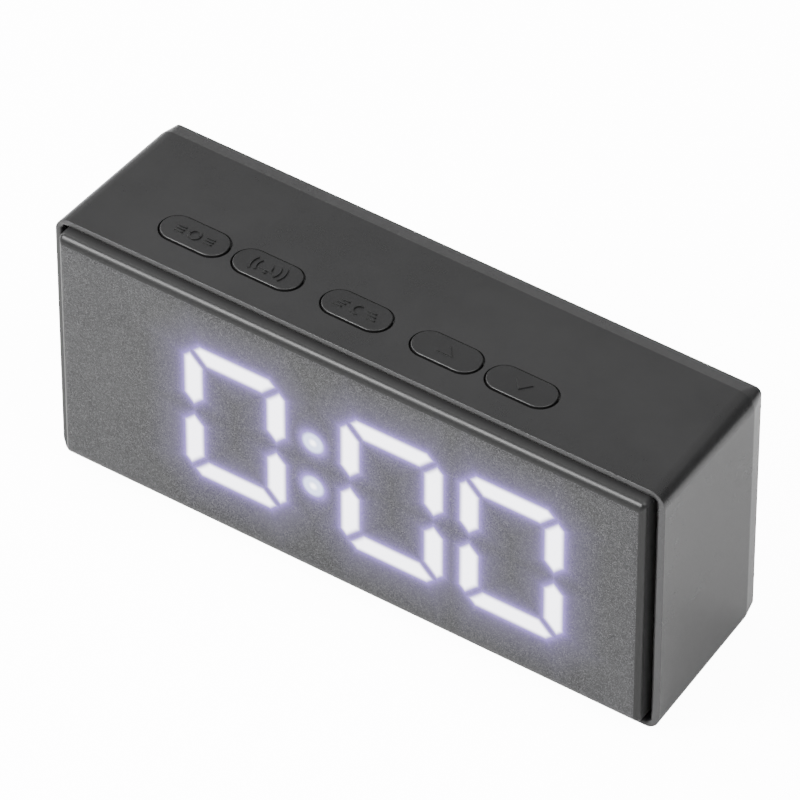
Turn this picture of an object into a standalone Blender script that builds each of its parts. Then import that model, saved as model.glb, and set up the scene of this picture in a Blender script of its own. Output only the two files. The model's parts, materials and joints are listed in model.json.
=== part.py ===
"""Desk alarm clock with a 3 1/2 digit light display, built piece by piece.

Frame: metres, +Z up. The display faces -Y, and +X is to the right of a person who
looks at the display. The origin is under the middle of the clock, on the table.

The case is one drafted box, open at the front. From the front backwards it holds the
tinted panel, the black mask, the diffuser with one raised block per segment, the
reflector, the display board and the frame that carries them all. Five keys in the top
wall press five small switches on their own board. The rear wall carries a battery
tray behind a hinged door, a supply socket, a buzzer and four screw wells.
"""

import math

import bmesh
import bpy
from mathutils import Matrix, Vector

# ---------------------------------------------------------------------------
# Driving dimensions
# ---------------------------------------------------------------------------

CASE_LENGTH = 0.150
CASE_HEIGHT = 0.066
CASE_DEPTH = 0.042
SIDE_DRAFT = 0.0014        # each side wall leans in by this much over the depth
TOP_DRAFT = 0.0004
BOTTOM_DRAFT = 0.0014
SIDE_WALL = 0.0016
TOP_WALL = 0.0014
BOTTOM_WALL = 0.0012
BACK_WALL = 0.0018
LONG_EDGE_RADIUS = 0.0024  # the four edges that run from front to back
REAR_EDGE_RADIUS = 0.0060
RIM_CORNER_RADIUS = 0.0012
FOOT_STANDOFF = 0.0010     # daylight under the front edge of the case

GAP = 0.0003               # between pieces that touch on the real clock
SLIDING_GAP = 0.0004       # between a moving piece and what guides it

PANEL_RIGHT_PLAY = 0.00177 # between the panel's right edge and the case's wall
PANEL_TOP_PLAY = 0.00129   # between the panel's top edge and the case's wall
PANEL_PROUD = 0.0026       # how far the panel stands out of the rim
PANEL_INSIDE = 0.0050      # how deep its skirt reaches behind the rim
PANEL_FACE = 0.0016
PANEL_SKIRT = 0.0015
PANEL_EDGE_RADIUS = 0.0010
PANEL_CORNER_RADIUS = 0.0022

DIGIT_WIDTH = 0.0210       # between the middles of the upright segments
DIGIT_HEIGHT = 0.0317      # between the middles of the level segments
DIGIT_PITCH = 0.0294
COLON_PITCH = 0.0391       # between the two digits that the colon parts
SEGMENT_WIDTH = 0.0048
SEGMENT_GAP = 0.0012       # across the mitre between two segments
SEGMENT_TIP_GAP = 0.0027   # between the points of two upright segments
SEGMENT_CHAMFER = 0.0032
COLON_RADIUS = 0.0029
COLON_SPREAD = 0.0122      # between the two dots
DISPLAY_CENTRE_X = 0.0014  # middle of the 3 1/2 digits, from the middle of the case
DISPLAY_CENTRE_UP = 0.0323 # height of the digits' middle above the case's front edge
WINDOW_CLEARANCE = 0.0003

MASK_THICKNESS = 0.0012
DIFFUSER_SHEET = 0.0006
REFLECTOR_DEPTH = 0.0050
REFLECTOR_MARGIN = 0.0030
BOARD_THICKNESS = 0.0016
BOARD_MARGIN = 0.0010      # board above and below the reflector
BOARD_END = 0.0054         # board past the reflector at each end, for the screws
CHIP_SIZE = 0.0020
CHIP_HEIGHT = 0.0008

FRAME_THICKNESS = 0.0020
FRAME_SIDE_BAR = 0.0120
FRAME_CLEARANCE = 0.0004

KEY_LENGTH = 0.0162
KEY_WIDTH = 0.0076
KEY_PROUD = 0.0006
KEY_TOP_RADIUS = 0.0006
KEY_FLANGE = 0.0008        # how far the flange reaches past the key
KEY_FLANGE_THICKNESS = 0.0008
KEY_TRAVEL = 0.0005
KEY_ROW_DEPTH = 0.0110     # from the rim back to the middle of the keys
KEY_ROW_START = 0.0195     # from the case's left side to the first key
KEY_INNER_SPACE = 0.0059   # between the middle key and its neighbours
KEY_OUTER_SPACE = 0.0021   # between the keys of an outer pair

SWITCH_SIZE = 0.0060
SWITCH_HEIGHT = 0.0034
SWITCH_WELL = 0.0017       # depth of the hole that the plunger slides in
PLUNGER_RADIUS = 0.00175
PLUNGER_PROUD = 0.0010
STEM_RADIUS = 0.0020
STEM_LENGTH = 0.0010
KEY_BOARD_THICKNESS = 0.0012
KEY_BOARD_WIDTH = 0.0066
KEY_BOARD_END = 0.0060     # board past the last key at each end

CELL_RADIUS = 0.00525
CELL_LENGTH = 0.0445
CELL_BUTTON_RADIUS = 0.0018
CELL_BUTTON_HEIGHT = 0.0008
CELL_COUNT = 3
CELL_SPACE = 0.0007        # between two cells
CELL_COVER = 0.0012        # from the cells back to the tray's mouth
CELL_SPRING_ROOM = 0.0050
TRAY_WALL = 0.0012
TRAY_FLANGE = 0.0030
TRAY_FLANGE_THICKNESS = 0.0015
TRAY_X = 0.0220
TRAY_UP = 0.0330
DOOR_THICKNESS = 0.0016
DOOR_MARGIN = 0.0014       # door past the tray's mouth
DOOR_CORNER_RADIUS = 0.0020
DOOR_LUG_WIDTH = 0.0060
DOOR_LUG_THICKNESS = 0.0010
DOOR_LUG_REACH = 0.0015
NOTCH_RADIUS = 0.0060      # the finger notch is a shallow slice of a cylinder
NOTCH_DEPTH = 0.0008
NOTCH_HEIGHT = 0.0030
NOTCH_INSET = 0.0020       # below the door's upper edge
SPRING_RADIUS = 0.0032
SPRING_WIRE_RADIUS = 0.00035
SPRING_TURNS = 3
SPRING_STEPS = 8           # points in a turn
SPRING_TAPER = 0.35        # share of its radius that the coil loses
CONTACT_THICKNESS = 0.0004
CONTACT_SIZE = 0.0078

SCREW_RADIUS = 0.0013
SCREW_HEAD_RADIUS = 0.0026
SCREW_HEAD_HEIGHT = 0.0016
SCREW_BITE = 0.0060        # thread inside the post
SCREW_WELL_DEPTH = 0.0050
SCREW_WELL_FLOOR = 0.0018
WELL_BOSS_WALL = 0.0012
SCREW_INSET_X = 0.0075     # screw axis in from the case's side
SCREW_INSET_LOW = 0.0100
SCREW_INSET_HIGH = 0.0085
POST_RADIUS = 0.0030
SMALL_SCREW_RADIUS = 0.0009
SMALL_HEAD_RADIUS = 0.0018
SMALL_HEAD_HEIGHT = 0.0012
SMALL_SCREW_LENGTH = 0.0045
SLOT_REACH = 0.62          # half length of a screw's slots, over its head's radius
SLOT_WIDTH = 0.14          # half width of a slot, over the same radius
SLOT_DEPTH = 0.45          # over the head's height

SOCKET_X = -0.0450
SOCKET_UP = 0.0160
SOCKET_WIDTH = 0.0076
SOCKET_HEIGHT = 0.0028
SOCKET_DEPTH = 0.0052
SOCKET_SHELL = 0.0003
SOCKET_END = 0.0008        # thickness of its closed end
TONGUE_WIDTH = 0.0036
TONGUE_THICKNESS = 0.0006
TONGUE_INSET = 0.0010      # from the sleeve's mouth
POWER_BOARD_LENGTH = 0.0260
POWER_BOARD_DEPTH = 0.0150
POWER_BOSS_RADIUS = 0.0024
BUZZER_X = -0.0450
BUZZER_UP = 0.0420
BUZZER_RADIUS = 0.0090
BUZZER_DEPTH = 0.0042
SOUND_HOLE_RADIUS = 0.0008
SOUND_RING_RADIUS = 0.0036
SOUND_HOLES_IN_RING = 6

FOOT_RADIUS = 0.0040
FOOT_INSET_X = 0.0130
FOOT_INSET_FRONT = 0.0085
FOOT_INSET_BACK = 0.0100

LEAD_RADIUS = 0.0005
LEAD_SPREAD = 0.0030       # between the two battery leads

BLOB_RADIUS = 0.0065       # the moulded dome over the controller chip
BLOB_TOP_RADIUS = 0.0045
BLOB_HEIGHT = 0.0016
BLOB_X = 0.0200
BLOB_UP = 0.0290
CRYSTAL_RADIUS = 0.0010
CRYSTAL_LENGTH = 0.0060
CRYSTAL_X = 0.0300
CRYSTAL_UP = 0.0390
CAPACITOR_RADIUS = 0.0030
CAPACITOR_LENGTH = 0.0075
CAPACITOR_X = -0.0050
CAPACITOR_UP = 0.0210

ROUND_STEPS = 6            # facets in a quarter turn of a large rounding
SMALL_STEPS = 4
CIRCLE = 24
HALF_CIRCLE = 16           # steps of a middling round
SMALL_CIRCLE = 12
OVERLAP = 0.0004           # how far joined solids run into each other
REACH = 0.0020             # how far a cutter runs past what it cuts

# ---------------------------------------------------------------------------
# Derived places
# ---------------------------------------------------------------------------

HALF_LENGTH = CASE_LENGTH / 2
RIM_Y = PANEL_PROUD - (PANEL_PROUD + CASE_DEPTH) / 2
BACK_Y = RIM_Y + CASE_DEPTH
BACK_INSIDE_Y = BACK_Y - BACK_WALL
CASE_LOW = FOOT_STANDOFF
CASE_HIGH = FOOT_STANDOFF + CASE_HEIGHT


def back_share(y):
    """How far along the case's depth a place is, from 0 at the rim to 1 at the back."""
    return (y - RIM_Y) / CASE_DEPTH


def case_side(y):
    """Distance of the case's outer side faces from its middle at the depth y."""
    return HALF_LENGTH - SIDE_DRAFT * back_share(y)


def case_top(y):
    """Height of the case's outer top face at the depth y."""
    return CASE_HIGH - TOP_DRAFT * back_share(y)


def case_bottom(y):
    """Height of the case's outer bottom face at the depth y."""
    return CASE_LOW + BOTTOM_DRAFT * back_share(y)


PANEL_FRONT_Y = RIM_Y - PANEL_PROUD
PANEL_BACK_Y = RIM_Y + PANEL_INSIDE
# the panel rests low and left in the mouth
MOUTH_RIGHT = case_side(PANEL_BACK_Y) - SIDE_WALL
MOUTH_HIGH = case_top(PANEL_BACK_Y) - TOP_WALL
PANEL_LEFT = GAP - MOUTH_RIGHT
PANEL_LOW = case_bottom(PANEL_BACK_Y) + BOTTOM_WALL + GAP
PANEL_LENGTH = MOUTH_RIGHT - PANEL_RIGHT_PLAY - PANEL_LEFT
PANEL_HEIGHT = MOUTH_HIGH - PANEL_TOP_PLAY - PANEL_LOW
PANEL_X = PANEL_LEFT + PANEL_LENGTH / 2
PANEL_Z = PANEL_LOW + PANEL_HEIGHT / 2

MASK_FRONT_Y = PANEL_FRONT_Y + PANEL_FACE + GAP
MASK_BACK_Y = MASK_FRONT_Y + MASK_THICKNESS
SHEET_FRONT_Y = MASK_BACK_Y + GAP
SHEET_BACK_Y = SHEET_FRONT_Y + DIFFUSER_SHEET
REFLECTOR_FRONT_Y = SHEET_BACK_Y + GAP
REFLECTOR_BACK_Y = REFLECTOR_FRONT_Y + REFLECTOR_DEPTH
FRAME_FRONT_Y = PANEL_BACK_Y + GAP
FRAME_BACK_Y = FRAME_FRONT_Y + FRAME_THICKNESS
BOARD_FRONT_Y = max(REFLECTOR_BACK_Y + CHIP_HEIGHT, FRAME_BACK_Y) + GAP
BOARD_BACK_Y = BOARD_FRONT_Y + BOARD_THICKNESS

DISPLAY_Z = CASE_LOW + DISPLAY_CENTRE_UP
# the right hand digit's middle, and then the others from right to left
DIGIT_SPAN = 2 * DIGIT_PITCH + COLON_PITCH
LAST_DIGIT_X = DISPLAY_CENTRE_X + (DIGIT_SPAN - DIGIT_WIDTH) / 2
DIGIT_X = [
    LAST_DIGIT_X - DIGIT_SPAN,
    LAST_DIGIT_X - DIGIT_PITCH - COLON_PITCH,
    LAST_DIGIT_X - DIGIT_PITCH,
    LAST_DIGIT_X,
]
COLON_X = (DIGIT_X[1] + DIGIT_X[2]) / 2
DISPLAY_LEFT = DIGIT_X[0] + DIGIT_WIDTH / 2 - SEGMENT_WIDTH / 2 - REFLECTOR_MARGIN
DISPLAY_RIGHT = DIGIT_X[3] + DIGIT_WIDTH / 2 + SEGMENT_WIDTH / 2 + REFLECTOR_MARGIN
DISPLAY_LOW = DISPLAY_Z - DIGIT_HEIGHT / 2 - SEGMENT_WIDTH / 2 - REFLECTOR_MARGIN
DISPLAY_HIGH = DISPLAY_Z + DIGIT_HEIGHT / 2 + SEGMENT_WIDTH / 2 + REFLECTOR_MARGIN

KEY_Y = RIM_Y + KEY_ROW_DEPTH
KEY_NAMES = ["mode", "alarm", "snooze", "up", "down"]
KEY_INNER_PITCH = KEY_LENGTH + KEY_INNER_SPACE
KEY_OUTER_PITCH = KEY_LENGTH + KEY_OUTER_SPACE
FIRST_KEY_X = KEY_ROW_START + KEY_LENGTH / 2 - HALF_LENGTH
KEY_X = [
    FIRST_KEY_X,
    FIRST_KEY_X + KEY_OUTER_PITCH,
    FIRST_KEY_X + KEY_OUTER_PITCH + KEY_INNER_PITCH,
    FIRST_KEY_X + KEY_OUTER_PITCH + 2 * KEY_INNER_PITCH,
    FIRST_KEY_X + 2 * KEY_OUTER_PITCH + 2 * KEY_INNER_PITCH,
]

KEY_BACK_Y = KEY_Y + KEY_WIDTH / 2 + KEY_FLANGE
KEY_TOP_Z = case_top(KEY_Y) + KEY_PROUD
FLANGE_HIGH = case_top(KEY_BACK_Y) - TOP_WALL - GAP
FLANGE_LOW = FLANGE_HIGH - KEY_FLANGE_THICKNESS
STEM_LOW = FLANGE_LOW - STEM_LENGTH
PLUNGER_HIGH = STEM_LOW - GAP
SWITCH_HIGH = PLUNGER_HIGH - PLUNGER_PROUD
SWITCH_LOW = SWITCH_HIGH - SWITCH_HEIGHT
KEY_BOARD_HIGH = SWITCH_LOW - GAP
KEY_BOARD_LOW = KEY_BOARD_HIGH - KEY_BOARD_THICKNESS
KEY_BOARD_LEFT = KEY_X[0] - KEY_LENGTH / 2 - KEY_BOARD_END
KEY_BOARD_RIGHT = KEY_X[-1] + KEY_LENGTH / 2 + KEY_BOARD_END
KEY_BOSS_X = [
    KEY_BOARD_LEFT + KEY_BOARD_END / 2 - KEY_FLANGE,
    KEY_BOARD_RIGHT - KEY_BOARD_END / 2 + KEY_FLANGE,
]

BOARD_LOW = DISPLAY_LOW - BOARD_MARGIN
BOARD_HIGH = min(DISPLAY_HIGH + BOARD_MARGIN, KEY_BOARD_LOW - SMALL_HEAD_HEIGHT - 2 * GAP)

CELL_PITCH = 2 * CELL_RADIUS + CELL_SPACE
TRAY_DEPTH = TRAY_WALL + GAP + 2 * CELL_RADIUS + CELL_COVER
TRAY_Z = CASE_LOW + TRAY_UP
MOUTH_WIDTH = CELL_LENGTH + CELL_SPRING_ROOM + 2 * GAP
MOUTH_HEIGHT = (CELL_COUNT - 1) * CELL_PITCH + 2 * CELL_RADIUS + 4 * GAP
DOOR_WIDTH = MOUTH_WIDTH + 2 * DOOR_MARGIN
DOOR_HEIGHT = MOUTH_HEIGHT + 2 * DOOR_MARGIN
DOOR_LOW = TRAY_Z - DOOR_HEIGHT / 2
HINGE_Z = DOOR_LOW - SLIDING_GAP
TRAY_BACK_Y = BACK_INSIDE_Y - GAP
TRAY_FRONT_Y = TRAY_BACK_Y - TRAY_DEPTH
CELL_Y = TRAY_FRONT_Y + TRAY_WALL + GAP + CELL_RADIUS
CELL_Z = [TRAY_Z + (i - (CELL_COUNT - 1) / 2) * CELL_PITCH for i in range(CELL_COUNT)]
FLAT_SIDE = [1, -1, 1]     # which end of the tray holds each cell's flat contact

SCREW_X = [-HALF_LENGTH + SCREW_INSET_X, HALF_LENGTH - SCREW_INSET_X]
SCREW_Z = [CASE_LOW + SCREW_INSET_LOW, CASE_HIGH - SCREW_INSET_HIGH]
WELL_FLOOR_Y = BACK_Y - SCREW_WELL_DEPTH
WELL_RADIUS = SCREW_HEAD_RADIUS + SLIDING_GAP
WELL_BOSS_RADIUS = WELL_RADIUS + WELL_BOSS_WALL
WELL_BOSS_FRONT_Y = WELL_FLOOR_Y - SCREW_WELL_FLOOR
POST_BACK_Y = WELL_BOSS_FRONT_Y - GAP

SOCKET_Z = CASE_LOW + SOCKET_UP
POWER_BOARD_HIGH = SOCKET_Z - SOCKET_HEIGHT / 2 - GAP
POWER_BOARD_LOW = POWER_BOARD_HIGH - KEY_BOARD_THICKNESS
POWER_BOARD_BACK_Y = BACK_INSIDE_Y - 2 * GAP
POWER_BOARD_FRONT_Y = POWER_BOARD_BACK_Y - POWER_BOARD_DEPTH
BUZZER_Z = CASE_LOW + BUZZER_UP

# ---------------------------------------------------------------------------
# Scene and helpers
# ---------------------------------------------------------------------------


def clear_scene():
    """Remove whatever the open file holds."""
    for thing in list(bpy.data.objects):
        bpy.data.objects.remove(thing, do_unlink=True)


def make_collection(name):
    group = bpy.data.collections.new(name)
    bpy.context.scene.collection.children.link(group)
    return group


clear_scene()
CLOCK = make_collection("alarm_clock")
CUTTERS = make_collection("cutters")


def make_material(name, colour, roughness, metallic=0.0):
    """A Principled material with one colour."""
    material = bpy.data.materials.new(name)
    material.use_nodes = True
    shader = material.node_tree.nodes["Principled BSDF"]
    shader.inputs["Base Color"].default_value = (*colour, 1.0)
    shader.inputs["Roughness"].default_value = roughness
    shader.inputs["Metallic"].default_value = metallic
    material.diffuse_color = (*colour, 1.0)
    return material


CASE_PLASTIC = make_material("case_plastic", (0.035, 0.035, 0.037), 0.45)
KEY_PLASTIC = make_material("key_plastic", (0.030, 0.030, 0.032), 0.42)
PANEL_PLASTIC = make_material("panel_plastic", (0.10, 0.10, 0.105), 0.35)
MASK_PLASTIC = make_material("mask_plastic", (0.010, 0.010, 0.010), 0.70)
DIFFUSER_PLASTIC = make_material("diffuser_plastic", (0.85, 0.85, 0.90), 0.50)
REFLECTOR_PLASTIC = make_material("reflector_plastic", (0.80, 0.80, 0.78), 0.60)
BOARD_LAMINATE = make_material("board_laminate", (0.02, 0.14, 0.06), 0.45)
CHIP_PLASTIC = make_material("chip_plastic", (0.012, 0.012, 0.012), 0.50)
TRAY_PLASTIC = make_material("tray_plastic", (0.030, 0.030, 0.030), 0.60)
BRIGHT_STEEL = make_material("bright_steel", (0.62, 0.61, 0.59), 0.28, 1.0)
SPRING_STEEL = make_material("spring_steel", (0.55, 0.54, 0.52), 0.30, 1.0)
CELL_JACKET = make_material("cell_jacket", (0.16, 0.28, 0.20), 0.35)
RUBBER = make_material("rubber", (0.020, 0.020, 0.020), 0.85)
LEAD_RED = make_material("lead_red", (0.50, 0.02, 0.02), 0.45)
LEAD_BLACK = make_material("lead_black", (0.015, 0.015, 0.015), 0.45)
LEAD_GREY = make_material("lead_grey", (0.35, 0.35, 0.36), 0.45)


def new_object(name, mesh, group, material=None):
    """An object on a mesh, in a group, with its material."""
    thing = bpy.data.objects.new(name, mesh)
    group.objects.link(thing)
    if group is CUTTERS:
        thing.hide_render = True
        thing.display_type = "WIRE"
    if material:
        mesh.materials.append(material)
    return thing


def settle(thing):
    """Bring the scene up to date, so that matrix_world can be read."""
    bpy.context.view_layer.update()
    return thing


def box(name, low, high, group=CUTTERS, material=None):
    """A box between two opposite corners."""
    low = Vector(low)
    high = Vector(high)
    size = high - low
    mesh = bpy.data.meshes.new(name)
    shape = bmesh.new()
    bmesh.ops.create_cube(shape, size=1.0, matrix=Matrix.Diagonal((*size, 1.0)))
    shape.to_mesh(mesh)
    shape.free()
    thing = new_object(name, mesh, group, material)
    thing.location = (low + high) / 2
    return settle(thing)


AXIS_TURN = {
    "X": Matrix.Rotation(math.pi / 2, 4, "Y"),
    "Y": Matrix.Rotation(-math.pi / 2, 4, "X"),
    "Z": Matrix.Identity(4),
}


def cylinder(name, radius, start, length, axis, group=CUTTERS, material=None, steps=CIRCLE,
             end_radius=None):
    """A round bar or cone from a start point along +X, +Y or +Z."""
    mesh = bpy.data.meshes.new(name)
    shape = bmesh.new()
    turn = AXIS_TURN[axis]
    lift = Matrix.Translation((0, 0, length / 2))
    far_radius = radius if end_radius is None else end_radius
    bmesh.ops.create_cone(shape, cap_ends=True, segments=steps, radius1=radius,
                          radius2=far_radius, depth=length, matrix=turn @ lift)
    shape.to_mesh(mesh)
    shape.free()
    mesh.shade_smooth()
    mesh.set_sharp_from_angle(angle=math.radians(40))
    thing = new_object(name, mesh, group, material)
    thing.location = start
    return settle(thing)


def arc(centre, radius, start_angle, end_angle, steps):
    """Points along an arc, both ends included."""
    points = []
    for step in range(steps + 1):
        angle = start_angle + (end_angle - start_angle) * step / steps
        points.append((centre[0] + radius * math.cos(angle), centre[1] + radius * math.sin(angle)))
    return points


def round_rectangle(width, height, radius, centre=(0, 0), steps=SMALL_STEPS):
    """The outline of a rectangle with round corners, anticlockwise."""
    radius = min(radius, width / 2, height / 2)
    outline = []
    quarter = math.pi / 2
    for turn, (side_x, side_y) in enumerate(((1, 1), (-1, 1), (-1, -1), (1, -1))):
        corner = (centre[0] + side_x * (width / 2 - radius), centre[1] + side_y * (height / 2 - radius))
        for point in arc(corner, radius, turn * quarter, (turn + 1) * quarter, steps):
            if not outline or math.dist(point, outline[-1]) > 1e-7:
                outline.append(point)
    if math.dist(outline[0], outline[-1]) < 1e-7:
        outline.pop()
    return outline


def circle(radius, centre, steps=CIRCLE):
    """A closed ring of points."""
    return arc(centre, radius, 0.0, 2 * math.pi * (steps - 1) / steps, steps - 1)


def plate(name, outlines, start, thickness, axis, group=CUTTERS, material=None):
    """Flat outlines given a thickness, from start along +Y or +Z.

    Along Y an outline's second number is a height. Along Z it is a depth.
    """
    curve = bpy.data.curves.new(name + "_outline", "CURVE")
    curve.dimensions = "2D"
    curve.fill_mode = "BOTH"
    curve.extrude = thickness / 2
    for outline in outlines:
        spline = curve.splines.new("POLY")
        spline.points.add(len(outline) - 1)
        for point, place in zip(spline.points, outline):
            point.co = (place[0], place[1], 0, 1)
        spline.use_cyclic_u = True
    drawing = new_object(name + "_outline", curve, group)
    middle = start + thickness / 2
    if axis == "Y":
        drawing.rotation_euler = (math.pi / 2, 0, 0)
        drawing.location = (0, middle, 0)
    else:
        drawing.location = (0, 0, middle)
    return solid_from_curve(name, drawing, group, material)


def solid_from_curve(name, drawing, group, material):
    """The closed mesh of a curve object, which it replaces."""
    bpy.context.view_layer.update()
    seen = drawing.evaluated_get(bpy.context.evaluated_depsgraph_get())
    mesh = bpy.data.meshes.new_from_object(seen)
    mesh.name = name
    place = drawing.matrix_world.copy()
    shape = bmesh.new()
    shape.from_mesh(mesh)
    bmesh.ops.remove_doubles(shape, verts=shape.verts, dist=0.000001)
    bmesh.ops.recalc_face_normals(shape, faces=shape.faces)
    shape.to_mesh(mesh)
    shape.free()
    bpy.data.objects.remove(drawing, do_unlink=True)
    thing = new_object(name, mesh, group, material)
    thing.matrix_world = place
    return settle(thing)


def round_edges(thing, width, steps, test):
    """Round the edges whose two world end points both pass a test."""
    place = thing.matrix_world
    shape = bmesh.new()
    shape.from_mesh(thing.data)
    chosen = []
    for edge in shape.edges:
        ends = [place @ vertex.co for vertex in edge.verts]
        if all(test(end) for end in ends) and edge.calc_face_angle(0) > math.radians(30):
            chosen.append(edge)
    bmesh.ops.bevel(shape, geom=chosen, offset=width, segments=steps, profile=0.5,
                    affect="EDGES", clamp_overlap=True)
    shape.to_mesh(thing.data)
    shape.free()
    thing.data.shade_smooth()
    thing.data.set_sharp_from_angle(angle=math.radians(40))
    return thing


def combine(thing, others, operation):
    """Cut solids out of a thing, or join them to it."""
    for other in others:
        step = thing.modifiers.new(other.name, "BOOLEAN")
        step.operation = operation
        step.solver = "EXACT"
        step.object = other
    return thing


def cut(thing, *others):
    return combine(thing, others, "DIFFERENCE")


def join(thing, *others):
    return combine(thing, others, "UNION")


def lead(name, points, material, radius=LEAD_RADIUS):
    """A wire along a smooth curve through its points, straight at both ends."""
    curve = bpy.data.curves.new(name, "CURVE")
    curve.dimensions = "3D"
    curve.bevel_depth = radius
    curve.bevel_resolution = 2
    curve.use_fill_caps = True
    curve.resolution_u = 4
    spline = curve.splines.new("BEZIER")
    spline.bezier_points.add(len(points) - 1)
    places = [Vector(point) for point in points]
    last = len(places) - 1
    for index, knot in enumerate(spline.bezier_points):
        before = places[max(index - 1, 0)]
        after = places[min(index + 1, last)]
        if index <= 1:
            heading = places[1] - places[0]
        elif index >= last - 1:
            heading = places[last] - places[last - 1]
        else:
            heading = after - before
        heading = heading.normalized()
        here = places[index]
        knot.handle_left_type = "FREE"
        knot.handle_right_type = "FREE"
        knot.co = here
        knot.handle_left = here - heading * (here - before).length / 3
        knot.handle_right = here + heading * (after - here).length / 3
    drawing = new_object(name + "_path", curve, CLOCK)
    return solid_from_curve(name, drawing, CLOCK, material)


# ---------------------------------------------------------------------------
# Case
# ---------------------------------------------------------------------------


def drafted_box(name, inset_side, inset_top, inset_bottom, front_y, back_y, long_radius,
                rear_radius, group, material=None):
    """The case's leaning block, made smaller by an inset on each side."""
    mesh = bpy.data.meshes.new(name)
    shape = bmesh.new()
    bmesh.ops.create_cube(shape, size=2.0)
    weight = shape.edges.layers.float.new("bevel_weight_edge")
    for edge in shape.edges:
        at_back = [vertex.co.y > 0 for vertex in edge.verts]
        if all(at_back):
            edge[weight] = 1.0
        elif any(at_back):
            edge[weight] = long_radius / rear_radius
    for vertex in shape.verts:
        y = back_y if vertex.co.y > 0 else front_y
        half = case_side(y) - inset_side
        high = case_top(y) - inset_top
        low = case_bottom(y) + inset_bottom
        vertex.co = (half * vertex.co.x, y, high if vertex.co.z > 0 else low)
    shape.to_mesh(mesh)
    shape.free()
    thing = new_object(name, mesh, group, material)
    rounding = thing.modifiers.new("rounding", "BEVEL")
    rounding.limit_method = "WEIGHT"
    rounding.width = rear_radius
    rounding.segments = ROUND_STEPS
    mesh.shade_smooth()
    return settle(thing)


def build_case():
    """Case: a drafted box, open at the front, with bosses, wells and openings."""
    case = drafted_box("case", 0, 0, 0, RIM_Y, BACK_Y, LONG_EDGE_RADIUS, REAR_EDGE_RADIUS,
                       CLOCK, CASE_PLASTIC)
    hollow = drafted_box("case_hollow", SIDE_WALL, TOP_WALL, BOTTOM_WALL, RIM_Y - REACH,
                         BACK_INSIDE_Y, RIM_CORNER_RADIUS, REAR_EDGE_RADIUS - BACK_WALL, CUTTERS)
    cut(case, hollow)
    for column, x in enumerate(SCREW_X):
        for row, z in enumerate(SCREW_Z):
            join(case, cylinder(f"well_boss_{column}{row}", WELL_BOSS_RADIUS,
                                (x, WELL_BOSS_FRONT_Y, z), BACK_INSIDE_Y + OVERLAP - WELL_BOSS_FRONT_Y,
                                "Y"))
    for end, x in enumerate(KEY_BOSS_X):
        boss_high = case_top(KEY_Y) - TOP_WALL + OVERLAP
        boss_low = KEY_BOARD_HIGH + GAP
        join(case, cylinder(f"key_boss_{end}", KEY_BOARD_WIDTH / 3, (x, KEY_Y, boss_low),
                            boss_high - boss_low, "Z"))
    for end in (-1, 1):
        x = SOCKET_X + end * (POWER_BOARD_LENGTH / 2 - POWER_BOSS_RADIUS)
        y = (POWER_BOARD_FRONT_Y + POWER_BOARD_BACK_Y) / 2
        low = case_bottom(y) + BOTTOM_WALL - OVERLAP
        join(case, cylinder(f"power_boss_{end}", POWER_BOSS_RADIUS, (x, y, low),
                            POWER_BOARD_LOW - GAP - low, "Z", steps=HALF_CIRCLE))
    openings = []
    key_outlines = []
    for x in KEY_X:
        key_outlines.append(round_rectangle(KEY_LENGTH + 2 * SLIDING_GAP, KEY_WIDTH + 2 * SLIDING_GAP,
                                            KEY_WIDTH, (x, KEY_Y), ROUND_STEPS))
    openings.append(plate("key_holes", key_outlines, FLANGE_HIGH, TOP_WALL + REACH, "Z"))
    back_outlines = [round_rectangle(DOOR_WIDTH + 2 * SLIDING_GAP, DOOR_HEIGHT + 2 * SLIDING_GAP,
                                     DOOR_CORNER_RADIUS + SLIDING_GAP, (TRAY_X, TRAY_Z))]
    back_outlines.append(round_rectangle(SOCKET_WIDTH + 2 * SLIDING_GAP,
                                         SOCKET_HEIGHT + 2 * SLIDING_GAP,
                                         SLIDING_GAP, (SOCKET_X, SOCKET_Z)))
    back_outlines.append(circle(SOUND_HOLE_RADIUS, (BUZZER_X, BUZZER_Z), SMALL_CIRCLE))
    for hole in range(SOUND_HOLES_IN_RING):
        angle = 2 * math.pi * hole / SOUND_HOLES_IN_RING
        place = (BUZZER_X + SOUND_RING_RADIUS * math.cos(angle),
                 BUZZER_Z + SOUND_RING_RADIUS * math.sin(angle))
        back_outlines.append(circle(SOUND_HOLE_RADIUS, place, SMALL_CIRCLE))
    openings.append(plate("back_holes", back_outlines, BACK_INSIDE_Y - OVERLAP, BACK_WALL + REACH, "Y"))
    wells = []
    screw_holes = []
    for x in SCREW_X:
        for z in SCREW_Z:
            wells.append(circle(WELL_RADIUS, (x, z)))
            screw_holes.append(circle(SCREW_RADIUS + SLIDING_GAP, (x, z), HALF_CIRCLE))
    openings.append(plate("screw_wells", wells, WELL_FLOOR_Y, SCREW_WELL_DEPTH + REACH, "Y"))
    openings.append(plate("screw_holes", screw_holes, WELL_BOSS_FRONT_Y - REACH,
                          SCREW_WELL_FLOOR + 2 * REACH, "Y"))
    pilots = [circle(SMALL_SCREW_RADIUS + GAP, (x, KEY_Y), SMALL_CIRCLE) for x in KEY_BOSS_X]
    openings.append(plate("key_boss_pilots", pilots, KEY_BOARD_HIGH - REACH,
                          SMALL_SCREW_LENGTH + REACH, "Z"))
    cut(case, *openings)
    return case


# ---------------------------------------------------------------------------
# Panel and display
# ---------------------------------------------------------------------------


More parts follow.
